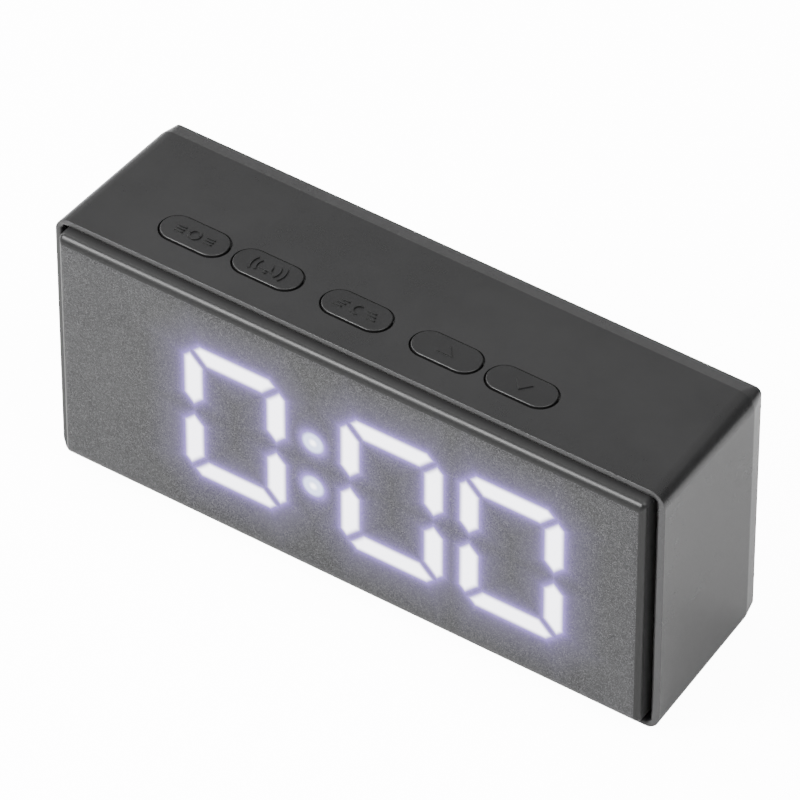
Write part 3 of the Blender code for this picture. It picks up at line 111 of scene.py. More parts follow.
def corner_rings(left, right, low, high, radius, steps=CORNER_STEPS):
    """Rectangles with round corners, one per row.

    The corner at the right and the top is an arc of angles t from 0 to 90 degrees:
    across = right + radius (cos t - 1), up = high + radius (sin t - 1). The others mirror it.
    """
    left, right, low, high, radius = [value[:, None] for value in np.broadcast_arrays(*[
        np.atleast_1d(np.asarray(value, float)) for value in (left, right, low, high, radius)])]
    turn = np.linspace(0, np.pi / 2, steps + 1)
    in_side = radius * (1 - np.cos(turn))[None]
    in_top = radius * (1 - np.sin(turn))[None]
    across = np.concatenate([right - in_side, left + in_side[:, ::-1], left + in_side,
                             right - in_side[:, ::-1]], 1)
    up = np.concatenate([high - in_top, high - in_top[:, ::-1], low + in_top, low + in_top[:, ::-1]], 1)
    return across, up


def quarter(steps):
    """Shares of a quarter turn: sin runs from 0 to 1 while 1 - cos runs from 0 to 1."""
    angle = np.linspace(0, np.pi / 2, steps + 1)
    return np.sin(angle), 1 - np.cos(angle)


def mesh_object(name, points, faces):
    """A mesh object at the origin, with its doubles merged and its faces outwards."""
    mesh = bpy.data.meshes.new(name)
    mesh.from_pydata(points.tolist(), [], faces)
    shape = bmesh.new()
    shape.from_mesh(mesh)
    bmesh.ops.remove_doubles(shape, verts=shape.verts, dist=1e-7)
    bmesh.ops.recalc_face_normals(shape, faces=shape.faces)
    shape.to_mesh(mesh)
    shape.free()
    thing = bpy.data.objects.new(name, mesh)
    bpy.context.scene.collection.objects.link(thing)
    return thing


def skin(name, grid):
    """A closed body over a grid of points (rows, columns, 3).

    Point (i, j) joins (i, j + 1), (i + 1, j + 1) and (i + 1, j), and the columns wrap round.
    The first and the last row are closed with one flat face each.
    """
    rows, columns = grid.shape[:2]
    index = np.arange(rows * columns).reshape(rows, columns)
    after = np.roll(index, -1, axis=1)
    quads = np.stack([index[:-1], after[:-1], after[1:], index[1:]], -1).reshape(-1, 4)
    faces = quads.tolist() + [index[0][::-1].tolist(), index[-1].tolist()]
    return mesh_object(name, grid.reshape(-1, 3), faces)


def stack_y(name, y, left, right, low, high, radius, steps=CORNER_STEPS):
    """A body of upright rings at the depths y."""
    across, up = corner_rings(left + 0 * y, right, low, high, radius, steps)
    depth = np.broadcast_to(y[:, None], across.shape)
    return skin(name, np.stack([across, depth, up], -1))


def stack_z(name, z, centre, length, width, radius, steps=CORNER_STEPS):
    """A body of level rings at the heights z, round a centre (x, y)."""
    x, y = centre
    across, along = corner_rings(x - length / 2 + 0 * z, x + length / 2, y - width / 2, y + width / 2,
                                 radius, steps)
    height = np.broadcast_to(z[:, None], across.shape)
    return skin(name, np.stack([across, along, height], -1))


def bake(thing):
    """Apply a thing's modifiers, so that the result is its mesh."""
    bpy.context.view_layer.update()
    seen = thing.evaluated_get(bpy.context.evaluated_depsgraph_get())
    mesh = bpy.data.meshes.new_from_object(seen)
    thing.modifiers.clear()
    thing.data = mesh


def carve(thing, cutters, operation="DIFFERENCE"):
    """Cut or join bodies exactly, and remove the cutters."""
    for cutter in cutters:
        step = thing.modifiers.new(cutter.name, "BOOLEAN")
        step.operation = operation
        step.solver = "EXACT"
        step.object = cutter
    bake(thing)
    for cutter in cutters:
        bpy.data.objects.remove(cutter, do_unlink=True)


SHARP_ANGLE = math.radians(32)
FLATS_FIRST = 100            # the greatest weight that large faces can have


def soften(thing):
    """Smooth shading with crisp edges above an angle, and flats that stay flat."""
    thing.data.shade_smooth()
    thing.data.set_sharp_from_angle(angle=SHARP_ANGLE)
    weigh = thing.modifiers.new("flat_faces_first", "WEIGHTED_NORMAL")
    weigh.keep_sharp = True
    weigh.weight = FLATS_FIRST
    return thing


print("ring of", 4 * (CORNER_STEPS + 1), "points")

# %% [markdown]
# ## Case
#
# The case is a box open at the front, with a wall that is a little thicker at its mouth. Its
# sides lean in towards the back, as a moulding must to leave its tool. Its skin is one stack
# of rings that starts at the back of the hollow, comes forward to the mouth, goes over the rim
# and back along the outside, and ends in a shallow band and a steep bevel round the back.

# %% Sizes of the case
case_low, case_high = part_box("case")
RIM_Y = case_low.y
BACK_Y = case_high.y
HALF_LENGTH = case_high.x
CASE_DEPTH = BACK_Y - RIM_Y
SIDE_DRAFT = 1.4 * MM
TOP_DRAFT = 0.4 * MM
BOTTOM_DRAFT = 1.4 * MM
SIDE_WALL = 1.6 * MM
TOP_WALL = 1.4 * MM
BOTTOM_WALL = 1.2 * MM
BACK_WALL = 1.8 * MM
REAR_RADIUS = 6.0 * MM       # of the rear edges, which the hollow follows
FRONT_CORNER = 3.6 * MM      # long edges of the case, at the rim
BACK_CORNER = 4.0 * MM       # and at the back, if no band were there
REAR_CORNER = 1.4 * MM       # what is left of the corner at the rear edge
MOUTH_CORNER = 1.5 * MM
BAND_START = 7.1 * MM        # a shallow band runs round the case, from here
BAND_END = 2.4 * MM          # to here, counted from the back
BAND_SIDE = 1.1 * MM         # how far it leans in at the sides
BAND_TOP = 1.55 * MM         # and at the top and the bottom
BAND_BLEND = 0.3 * MM        # half the length of the soft bend where the band starts
BEVEL_INSET = 3.2 * MM       # the steep bevel behind the band leans in by this much more
BEVEL_CORNER = 2.0 * MM      # and its corner grows by this much
REAR_EDGE = 0.35 * MM        # edge between the band and the bevel
RIM_EDGE = 0.08 * MM         # outer edge of the rim
LIP_EDGE = 1.10 * MM         # inner edge of the rim
MOUTH_LIP_RIGHT = 0.90 * MM  # the wall is thicker at the mouth, beside and above the panel
MOUTH_LIP_TOP = 0.70 * MM
MOUTH_LIP_DEPTH = 0.04       # share of the depth on which it fades
GAP = 0.3 * MM
SLIDING_GAP = 0.4 * MM
EDGE_STEPS = 6
HOLLOW_STEPS = 14


def case_sides(y, inset=0.0):
    """Left, right, low and high of the case at a depth, all moved in by the insets."""
    share = (np.asarray(y, float) - RIM_Y) / CASE_DEPTH
    side, top, bottom = inset if isinstance(inset, tuple) else (inset, inset, inset)
    half = HALF_LENGTH - SIDE_DRAFT * share - side
    return -half, half, case_low.z + BOTTOM_DRAFT * share + bottom, case_high.z - TOP_DRAFT * share - top


def case_top(y):
    """Height of the case's top face at the depth y."""
    return float(case_sides(y)[3])


BLEND_SHARES = np.array([0.0, 0.02, 0.08, 0.18, 0.32])           # a soft start of the band
REAR_EDGE_PLACES = np.array([-1.0, -0.45, -0.1, 0.25, 0.7])      # rings over the edge behind it
BAND_SHARES = np.array([0.917, 0.965, 1.0, 1.0, 1.0, 1.0])       # at those rings and the last one
BEVEL_SHARES = np.array([0.0, 0.0, 0.03, 0.14, 0.32, 1.0])


def case_skin():
    """The case's rings, from the back of the hollow over the rim to the back outside.

    An inset of 0 is the outer skin, and an inset equal to the wall is the inner one. The
    hollow's rear rounding is a quarter turn: depth = radius sin, inset = radius (1 - cos).
    Outside, the rear is a shallow band and a steep bevel with a small edge between them. Their
    shares run from 0, where each one starts, to 1, where it has its whole lean.
    """
    rise, fall = quarter(EDGE_STEPS)
    bend, tuck = quarter(HOLLOW_STEPS)
    inner_radius = REAR_RADIUS - BACK_WALL
    inside_y = np.concatenate([BACK_Y - BACK_WALL - inner_radius * (1 - bend[::-1]),
                               RIM_Y + LIP_EDGE * (1 - rise)])
    inside_extra = np.concatenate([inner_radius * tuck[::-1], -LIP_EDGE * fall])
    outside_y = np.concatenate([
        RIM_Y + RIM_EDGE * fall,
        BACK_Y - BAND_START + BAND_BLEND * np.linspace(-1, 1, len(BLEND_SHARES)),
        BACK_Y - BAND_END + REAR_EDGE * REAR_EDGE_PLACES,
        [BACK_Y]])
    on_rim = np.zeros(len(rise))
    on_blend = np.zeros(len(BLEND_SHARES))
    blend = BLEND_SHARES * BAND_BLEND / (BAND_START - BAND_END) * 2
    band = np.concatenate([on_rim, blend, BAND_SHARES])
    bevel = np.concatenate([on_rim, on_blend, BEVEL_SHARES])
    rim = np.concatenate([RIM_EDGE * (1 - rise), on_blend, np.zeros(len(BEVEL_SHARES))])
    y = np.concatenate([inside_y, outside_y])
    wall = np.concatenate([np.ones(len(inside_y)), np.zeros(len(outside_y))])
    none = np.zeros(len(inside_y))
    side = np.concatenate([inside_extra, rim + BAND_SIDE * band + BEVEL_INSET * bevel])
    top = np.concatenate([inside_extra, rim + BAND_TOP * band + BEVEL_INSET * bevel])
    share = (y - RIM_Y) / CASE_DEPTH
    corner = FRONT_CORNER + (BACK_CORNER - FRONT_CORNER) * share
    corner = corner + (REAR_CORNER - corner) * np.concatenate([none, band])
    corner = corner + BEVEL_CORNER * np.concatenate([none, bevel])
    radius = np.where(wall > 0, MOUTH_CORNER + side.clip(0), corner)
    left, right, low, high = case_sides(y, (SIDE_WALL * wall + side, TOP_WALL * wall + top,
                                            BOTTOM_WALL * wall + top))
    near_rim = wall * (1 - (share / MOUTH_LIP_DEPTH)).clip(0, 1) ** 0.5
    right = right - MOUTH_LIP_RIGHT * near_rim
    high = high - MOUTH_LIP_TOP * near_rim
    return stack_y("case_shell", y, left, right, low, high, radius)


case_shell = case_skin()
print("case skin:", len(case_shell.data.polygons), "faces")

# %% [markdown]
# ### Openings of the case
#
# The keys, the battery door, the supply socket, the buzzer and the screws each need an
# opening. The cutters are stacks of rings too. Where a cutter leaves the surface it widens in
# a small curve, and that leaves the soft lip that a moulded hole has.

# %% Cut the openings
KEYS = ["mode", "alarm", "snooze", "up", "down"]
KEY_FLANGE = 0.8 * MM
HOLE_LIP = 0.06 * MM
REACH = 2.0 * MM
OVERRUN = 4.0                # a cutter stands out of the surface by this many lips
rise, fall = quarter(EDGE_STEPS)
lip_up = np.concatenate([[-1.0], rise - 1, [OVERRUN]])
lip_out = np.concatenate([[0.0], fall, [OVERRUN]])


def key_plan(name):
    """Centre (x, y), length and width of a key's cap, from its node's box."""
    low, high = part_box(f"key_{name}")
    centre = ((low.x + high.x) / 2, (low.y + high.y) / 2)
    return centre, high.x - low.x - 2 * KEY_FLANGE, high.y - low.y - 2 * KEY_FLANGE


def key_opening(name):
    """A long round cutter through the top wall, with a lip at the surface."""
    centre, length, width = key_plan(name)
    top = case_top(centre[1])
    z = np.concatenate([[top - TOP_WALL - REACH], top + HOLE_LIP * (lip_up[1:])])
    grow = SLIDING_GAP + HOLE_LIP * np.concatenate([[0.0], lip_out[1:]])
    return stack_z(f"opening_{name}", z, centre, length + 2 * grow, width + 2 * grow, width / 2 + grow - 1e-6)


def rear_opening(name, left, right, low, high, radius, floor_y, lip=HOLE_LIP, steps=CORNER_STEPS):
    """A cutter from the depth floor_y out through the back, with a lip at the surface."""
    y = np.concatenate([[floor_y], BACK_Y + lip * lip_up[1:]])
    grow = lip * np.concatenate([[0.0], lip_out[1:]])
    return stack_y(name, y, left - grow, right + grow, low - grow, high + grow, radius + grow, steps)


def round_opening(name, x, z, radius, floor_y, lip=HOLE_LIP, steps=6):
    """The same for a round hole."""
    return rear_opening(name, x - radius, x + radius, z - radius, z + radius, radius - 1e-6, floor_y,
                        lip, steps)


def middle(node):
    """Middle of a node's box."""
    low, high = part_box(node)
    return (low + high) / 2


DOOR_CORNER = 2.0 * MM
LUG_REACH = 1.9 * MM
door_low, door_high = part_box("battery_door")
plate_low = door_low.z + LUG_REACH
socket_low, socket_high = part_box("supply_socket")
SOUND_HOLE_RADIUS = 0.8 * MM
SOUND_RING_RADIUS = 3.6 * MM
SOUND_HOLES = 6
WELL_DEPTH = 5.0 * MM
SCREW_HOLE_RADIUS = 1.7 * MM
WELL_FLOOR = 1.8 * MM
WELL_RADIUS = 3.0 * MM
WELL_BOSS_RADIUS = 4.2 * MM
WELL_LIP = 0.3 * MM
behind_wall = BACK_Y - BACK_WALL - REACH
cutters = [key_opening(name) for name in KEYS]
cutters.append(rear_opening("opening_door", door_low.x - SLIDING_GAP, door_high.x + SLIDING_GAP,
                            plate_low - SLIDING_GAP, door_high.z + SLIDING_GAP,
                            DOOR_CORNER + SLIDING_GAP, behind_wall))
cutters.append(rear_opening("opening_socket", socket_low.x - SLIDING_GAP, socket_high.x + SLIDING_GAP,
                            socket_low.z - SLIDING_GAP, socket_high.z + SLIDING_GAP,
                            2 * SLIDING_GAP, behind_wall))
buzzer = middle("buzzer")
sound_angles = np.arange(SOUND_HOLES) * 2 * np.pi / SOUND_HOLES
sound_x = buzzer.x + SOUND_RING_RADIUS * np.append(np.cos(sound_angles), 0.0)
sound_z = buzzer.z + SOUND_RING_RADIUS * np.append(np.sin(sound_angles), 0.0)
for number, (x, z) in enumerate(zip(sound_x, sound_z)):
    cutters.append(round_opening(f"opening_sound_{number}", x, z, SOUND_HOLE_RADIUS, behind_wall))
bosses = []
for number in range(1, 5):
    screw = middle(f"rear_screw_{number}")
    y = np.array([BACK_Y - WELL_DEPTH - WELL_FLOOR, BACK_Y - BACK_WALL / 2])
    bosses.append(stack_y(f"boss_{number}", y, screw.x - WELL_BOSS_RADIUS, screw.x + WELL_BOSS_RADIUS,
                          screw.z - WELL_BOSS_RADIUS, screw.z + WELL_BOSS_RADIUS, WELL_BOSS_RADIUS - 1e-6))
    cutters.append(round_opening(f"well_{number}", screw.x, screw.z, WELL_RADIUS,
                                 BACK_Y - WELL_DEPTH, WELL_LIP))
    cutters.append(round_opening(f"screw_hole_{number}", screw.x, screw.z, SCREW_HOLE_RADIUS,
                                 BACK_Y - WELL_DEPTH - WELL_FLOOR - REACH))
carve(case_shell, bosses, "UNION")
carve(case_shell, cutters)
soften(case_shell)
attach(case_shell, "housing")
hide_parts("case")
print("case with its openings:", len(case_shell.data.polygons), "faces")

# %% [markdown]
# ## Front panel
#
# The panel is a shallow cap of tinted plastic. Its edge is rounded, wider at the top and the
# bottom than at the sides, and meets the face at a crease, with a very fine groove beside it.
# The edge catches a line of light. The rings start inside the cap, go round its skirt, over
# the rounded edge, through the groove and onto the face.

# %% Front panel
panel_low, panel_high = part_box("front_panel")
EDGE_WIDTH = 1.2 * MM        # at the sides
EDGE_HEIGHT = 2.0 * MM       # at the top and the bottom
EDGE_DEPTH = 1.7 * MM
PANEL_CORNER = 1.1 * MM
EDGE_TURN = math.radians(66)   # the edge meets the face at a crease
FACE_CORNER = 0.45 * MM      # the least corner that an inner ring keeps
PANEL_SKIRT = 1.5 * MM
SKIRT_EDGE = 0.2 * MM
SKIRT_RINGS = 5
PANEL_FACE = 1.6 * MM
GROOVE_WIDTH = 0.20 * MM
GROOVE_DEPTH = 0.02 * MM
BORDER_WIDTH = 0.5 * MM
BORDER_DROP = 0.05 * MM


def panel_skin():
    """The panel's rings. The inset grows from the outer side towards the face's middle.

    The rounded edge is the first part of a quarter ellipse, up to the angle e = EDGE_TURN:
    inset = width (1 - cos a) / (1 - cos e), and depth = depth (1 - sin a / sin e).
    """
    turn = np.linspace(0, EDGE_TURN, 13)
    out = (1 - np.cos(turn)) / (1 - np.cos(EDGE_TURN))
    down = 1 - np.sin(turn) / np.sin(EDGE_TURN)
    front, back = panel_low.y, panel_high.y
    groove = np.linspace(0, 1, 7)
    dip = GROOVE_DEPTH * np.sin(np.pi * groove) ** 2
    y = np.concatenate([[front + PANEL_FACE, back - SKIRT_EDGE, back, back, back - SKIRT_EDGE],
                        front + BORDER_DROP + EDGE_DEPTH * down,
                        front + BORDER_DROP + dip[1:],
                        [front, front]])
    inset = np.concatenate([[PANEL_SKIRT, PANEL_SKIRT, PANEL_SKIRT - SKIRT_EDGE, SKIRT_EDGE, 0.0],
                            EDGE_WIDTH * out,
                            EDGE_WIDTH + GROOVE_WIDTH * groove[1:],
                            EDGE_WIDTH + GROOVE_WIDTH + BORDER_WIDTH + np.array([0.0, 1.0]) * MM])
    extra = (EDGE_HEIGHT - EDGE_WIDTH) * out
    on_face = np.full(len(inset) - SKIRT_RINGS - len(extra), extra[-1])
    rise = inset + np.concatenate([np.zeros(SKIRT_RINGS), extra, on_face])
    radius = np.maximum(PANEL_CORNER - inset, FACE_CORNER)
    return stack_y("panel_cap", y, panel_low.x + inset, panel_high.x - inset,
                   panel_low.z + rise, panel_high.z - rise, radius)


panel_cap = soften(panel_skin())
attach(panel_cap, "housing")
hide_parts("front_panel")
print("panel:", len(panel_cap.data.polygons), "faces, proud by",
      round((RIM_Y - panel_low.y) / MM, 2), "mm")

# %% [markdown]
# ## Keys
#
# A key is a long round cap with a soft edge and a flat top, on a flange that keeps it in the
# case. The signs on the keys are low relief in the same plastic: plain shapes that say what
# the key does, and no lettering.

# %% Key caps
KEY_EDGE = 0.22 * MM
KEY_STEPS = 8
KEY_STEM = 4.0 * MM
STEM_HEIGHT = 1.0 * MM
FLANGE_HEIGHT = 0.8 * MM
SIGN_HEIGHT = 0.28 * MM
SIGN_FOOT = 0.3 * MM         # how far a sign's foot reaches down into the cap
SIGN_TAPER = 0.93            # a sign's top, as a share of its foot


def key_skin(name):
    """A key's rings from its stem to its top: stem, flange, side, rounded edge, flat top."""
    centre, length, width = key_plan(name)
    low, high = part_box(f"key_{name}")
    top = high.z - SIGN_HEIGHT
    flange_low = low.z + STEM_HEIGHT
    flange_high = flange_low + FLANGE_HEIGHT
    bend, tuck = quarter(KEY_STEPS)
    z = np.concatenate([[low.z, flange_low, flange_low, flange_high, flange_high],
                        top - KEY_EDGE * (1 - bend)])
    grow = np.concatenate([[0, 0, 2 * KEY_FLANGE, 2 * KEY_FLANGE, 0], -2 * KEY_EDGE * tuck])
    long = length + grow
    wide = width + grow
    long[:2] = KEY_STEM
    wide[:2] = KEY_STEM
    return stack_z(f"key_cap_{name}", z, centre, long, wide, wide / 2 - 1e-6)


def sign_body(name, outline, key):
    """A low relief on a key from a closed outline (points, 2) in millimetres about its middle.

    Three rings: two at the foot, and the top drawn in towards the outline's own middle.
    """
    centre, _, _ = key_plan(key)
    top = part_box(f"key_{key}")[1].z
    points = np.asarray(outline, float) * MM
    middle_point = points.mean(0)
    rings = np.stack([points, points, middle_point + (points - middle_point) * SIGN_TAPER])
    z = np.array([top - SIGN_HEIGHT - SIGN_FOOT, top - SIGN_HEIGHT, top])
    heights = np.broadcast_to(z[:, None, None], rings.shape[:2] + (1,))
    return skin(f"sign_{name}", np.concatenate([rings + np.array(centre), heights], 2))


def ellipse(radius_x, radius_y, start=0.0, end=360.0, steps=32, centre=(0.0, 0.0)):
    """Points on an ellipse: (a cos t, b sin t) about a centre."""
    angle = np.radians(np.linspace(start, end, steps, endpoint=abs(end - start) < 359.9))
    return np.stack([centre[0] + radius_x * np.cos(angle), centre[1] + radius_y * np.sin(angle)], 1)


BAND_STEPS = 18


def band(radius_out, radius_in, start, end):
    """A bent bar between two arcs."""
    outer = ellipse(radius_out, radius_out, start, end, BAND_STEPS)
    inner = ellipse(radius_in, radius_in, start, end, BAND_STEPS)
    return np.concatenate([outer, inner[::-1]])


BAR_LENGTH = 2.2
BAR_HEIGHT = 0.45
ROUND_STEPS = 8


def bar(x, y):
    """A level bar with round ends."""
    end = BAR_HEIGHT / 2
    reach = BAR_LENGTH / 2 - BAR_HEIGHT / 2
    return np.concatenate([ellipse(end, end, -90, 90, ROUND_STEPS, (x + reach, y)),
                           ellipse(end, end, 90, 270, ROUND_STEPS, (x - reach, y))])


BELL = np.concatenate([[(-1.65, -0.95)], [(-1.2, -0.5)], ellipse(1.12, 1.55, 172, 8, 14, (0, 0.0)),
                       [(1.2, -0.5)], [(1.65, -0.95)]])
MOON = np.concatenate([ellipse(1.6, 1.6, 60, 300, 24), ellipse(1.28, 1.28, 282, 78, 20, (0.66, 0))])
SIGNS = {
    "mode": [bar(-3.6, 0.8), bar(-3.6, 0), bar(-3.6, -0.8), band(1.55, 1.05, 0, 175),
             band(1.55, 1.05, 180, 355), bar(3.6, 0.8), bar(3.6, 0), bar(3.6, -0.8)],
    "alarm": [BELL, ellipse(0.45, 0.3, centre=(0, -1.42)), band(3.0, 2.5, -36, 36),
              band(3.0, 2.5, 144, 216), band(4.3, 3.8, -30, 30), band(4.3, 3.8, 150, 210)],
    "snooze": [MOON, bar(3.2, 0.95), bar(3.6, 0), bar(4.0, -0.95), bar(-3.4, 0.95), bar(-3.8, 0),
               bar(-4.2, -0.95)],
    "up": [np.array([(-2.1, -1.1), (2.1, -1.1), (0.0, 1.5)])],
    "down": [np.array([(-2.1, 1.1), (0.0, -1.5), (2.1, 1.1)])],
}

key_caps = []
for name in KEYS:
    cap = key_skin(name)
    relief = [sign_body(f"{name}_{number}", outline, name) for number, outline in enumerate(SIGNS[name])]
    carve(cap, relief, "UNION")
    soften(cap)
    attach(cap, f"{name}_key")
    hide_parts(f"key_{name}")
    key_caps.append(cap)
print("keys:", {cap.name: len(cap.data.polygons) for cap in key_caps})

# %% [markdown]
# ## Battery door
#
# The door lies flush in the rear wall. Its edge is softened all round, five low ribs give the
# thumb a hold at the top, and two tongues below it are the hinge. It turns on the line of the
# tongues, so the whole piece rides on the door's own body.

# %% Battery door
DOOR_THICKNESS = 1.6 * MM
DOOR_EDGE = 0.3 * MM
RIB_COUNT = 5
RIB_PITCH = 1.5 * MM
RIB_LENGTH = 12.0 * MM
RIB_WIDTH = 0.9 * MM
RIB_DEPTH = 0.35 * MM
RIB_START = 4.0 * MM         # from the door's upper edge to the first rib
LUG_WIDTH = 6.0 * MM
LUG_THICKNESS = 1.0 * MM
LUG_CORNER = 0.15 * MM


def door_skin():
    """The door plate's rings from its inner face to its outer one, with a rounded outer edge."""
    bend, tuck = quarter(EDGE_STEPS)
    y = np.concatenate([[BACK_Y - DOOR_THICKNESS], BACK_Y - DOOR_EDGE * (1 - bend)])
    inset = np.concatenate([[0.0], DOOR_EDGE * tuck])
    return stack_y("door_plate", y, door_low.x + inset, door_high.x - inset, plate_low + inset,
                   door_high.z - inset, DOOR_CORNER - inset)


door_plate = door_skin()
lug_back = BACK_Y - BACK_WALL - GAP
lugs = []
door_x = (door_low.x + door_high.x) / 2
lug_reach = (door_high.x - door_low.x) / 2 - 1.5 * LUG_WIDTH
for number, x in enumerate((door_x - lug_reach, door_x + lug_reach)):
    for part, (y0, y1, z0, z1) in enumerate((
            (lug_back - LUG_THICKNESS, BACK_Y - DOOR_THICKNESS + GAP, plate_low, plate_low + LUG_THICKNESS),
            (lug_back - LUG_THICKNESS, lug_back, door_low.z, plate_low + LUG_THICKNESS))):
        lugs.append(stack_y(f"lug_{number}_{part}", np.array([y0, y1]), x - LUG_WIDTH / 2,
                            x + LUG_WIDTH / 2, z0, z1, LUG_CORNER, 2))
ribs = []
for number in range(RIB_COUNT):
    z = door_high.z - RIB_START - number * RIB_PITCH
    y = BACK_Y + RIB_DEPTH * np.array([-1.0, -0.6, 0.0, 1.0])
    grow = RIB_DEPTH * np.array([-0.7, -0.35, 0.0, 0.6])
    half_long = RIB_LENGTH / 2 + grow
    half_wide = RIB_WIDTH / 2 + grow
    ribs.append(stack_y(f"rib_{number}", y, door_x - half_long, door_x + half_long, z - half_wide,
                        z + half_wide, half_wide - 1e-6, 5))
carve(door_plate, lugs, "UNION")
carve(door_plate, ribs)
soften(door_plate)
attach(door_plate, "rear_door")
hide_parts("battery_door")
print("door:", len(door_plate.data.polygons), "faces")

# %% [markdown]
# ## Feet
#
# Each foot is a small pad of rubber with a rounded lower edge. A turned shape is a profile
# of radius and height carried round the upright axis.

# %% Feet
FOOT_EDGE = 0.35 * MM
FOOT_FLAT = 0.55             # the flat underside, as a share of the foot's radius
FOOT_STEPS = 6
TURNED_COLUMNS = 40


def turned(name, x, y, radius, z):
    """A body turned about the upright line at (x, y): point = (x + r cos t, y + r sin t, z)."""
    angle = np.linspace(0, 2 * np.pi, TURNED_COLUMNS, endpoint=False)
    grid = np.stack([x + radius[:, None] * np.cos(angle)[None], y + radius[:, None] * np.sin(angle)[None],
                     np.broadcast_to(z[:, None], (len(z), TURNED_COLUMNS))], -1)
    return skin(name, grid)


def foot_pad(node):
    """A pad with a rounded lower edge and a top that leans with the case's bottom."""
    low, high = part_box(node)
    x, y = (low.x + high.x) / 2, (low.y + high.y) / 2
    radius = (high.x - low.x) / 2
    bend, tuck = quarter(FOOT_STEPS)
    ring_radius = np.concatenate([[radius * FOOT_FLAT], radius - FOOT_EDGE * tuck[::-1], [radius]])
    heights = np.concatenate([[low.z], low.z + FOOT_EDGE * (1 - bend[::-1]), [high.z]])
    pad = turned(f"pad_{node}", x, y, ring_radius, heights)
    co = np.empty(len(pad.data.vertices) * 3)
    pad.data.vertices.foreach_get("co", co)
    co = co.reshape(-1, 3)
    on_top = co[:, 2] > high.z - 1e-5
    bottom = case_sides(co[:, 1])[2]
    co[on_top, 2] = bottom[on_top] - GAP
    pad.data.vertices.foreach_set("co", co.ravel())
    return soften(pad)


foot_pads = []
for node in ("foot_front_left", "foot_front_right", "foot_rear_left", "foot_rear_right"):
    pad = foot_pad(node)
    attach(pad, "housing")
    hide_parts(node)
    foot_pads.append(pad)
print("rubber pads:", len(foot_pads))

# %% [markdown]
# ## Finishes: the tools
#
# Every finish is a Principled shader. What changes over a surface, such as grain, scuffs or
# the pattern of light, comes from node groups with named inputs and outputs, so that one
# effect serves many materials. Node formulas are easier to read as sums than as wires, so a
# small class lets Python's own signs place the Math nodes.

# %% Node formulas
class Value:
    """A number that varies over a surface: one output socket in a node tree."""

    def __init__(self, tree, socket):
        self.tree = tree
        self.socket = socket

    def step(self, operation, *others):
        """A Math node fed by this value and the others, which may be plain numbers."""
        node = self.tree.nodes.new("ShaderNodeMath")
        node.operation = operation
        for slot, value in enumerate((self, *others)):
            if isinstance(value, Value):
                self.tree.links.new(value.socket, node.inputs[slot])
            else:
                node.inputs[slot].default_value = value
        return Value(self.tree, node.outputs[0])

    def __add__(self, other):
        return self.step("ADD", other)

    def __sub__(self, other):
        return self.step("SUBTRACT", other)

    def __mul__(self, other):
        return self.step("MULTIPLY", other)

    def __abs__(self):
        return self.step("ABSOLUTE")

    def least(self, other):
        return self.step("MINIMUM", other)

    def most(self, other):
        return self.step("MAXIMUM", other)

    def ramp(self, low, high, start=0.0, end=1.0):
        """A smooth rise from start to end while this value goes from low to high."""
        node = self.tree.nodes.new("ShaderNodeMapRange")
        node.interpolation_type = "SMOOTHSTEP"
        self.tree.links.new(self.socket, node.inputs["Value"])
        for name, value in (("From Min", low), ("From Max", high), ("To Min", start), ("To Max", end)):
            node.inputs[name].default_value = value
        return Value(self.tree, node.outputs["Result"])


def new_group(name, inputs, outputs):
    """A node group with named sockets: (name, type, default) in, and (name, type) out."""
    tree = bpy.data.node_groups.new(name, "ShaderNodeTree")
    for label, kind, default in inputs:
        socket = tree.interface.new_socket(name=label, in_out="INPUT", socket_type=kind)
        if default is not None:
            socket.default_value = default
    for label, kind in outputs:
        tree.interface.new_socket(name=label, in_out="OUTPUT", socket_type=kind)
    return tree, tree.nodes.new("NodeGroupInput"), tree.nodes.new("NodeGroupOutput")


def noise(tree, vector, scale, detail=2.0, roughness=0.5):
    """A noise value over a vector socket, with its scale a number or a Value."""
    node = tree.nodes.new("ShaderNodeTexNoise")
    node.inputs["Detail"].default_value = detail
    node.inputs["Roughness"].default_value = roughness
    tree.links.new(vector, node.inputs["Vector"])
    if isinstance(scale, Value):
        tree.links.new(scale.socket, node.inputs["Scale"])
    else:
        node.inputs["Scale"].default_value = scale
    return Value(tree, node.outputs["Fac"])


def mix_colours(tree, share, first, second):
    """A colour between two, which are colours or sockets."""
    node = tree.nodes.new("ShaderNodeMix")
    node.data_type = "RGBA"
    tree.links.new(share.socket, node.inputs["Factor"])
    for socket, colour in ((node.inputs["A"], first), (node.inputs["B"], second)):
        if isinstance(colour, bpy.types.NodeSocket):
            tree.links.new(colour, socket)
        else:
            socket.default_value = (*colour, 1.0)
    return node.outputs["Result"]


print("node formulas ready")

# %% [markdown]
# ### Moulded grain
#
# The steel tool that shapes a plastic piece is etched, so the piece comes out with a fine,
# soft grain and a sheen that is not quite even. The group gives the height of that grain for
# a bump, a roughness, and a faint clouding of the colour. Its size is set for each plastic.

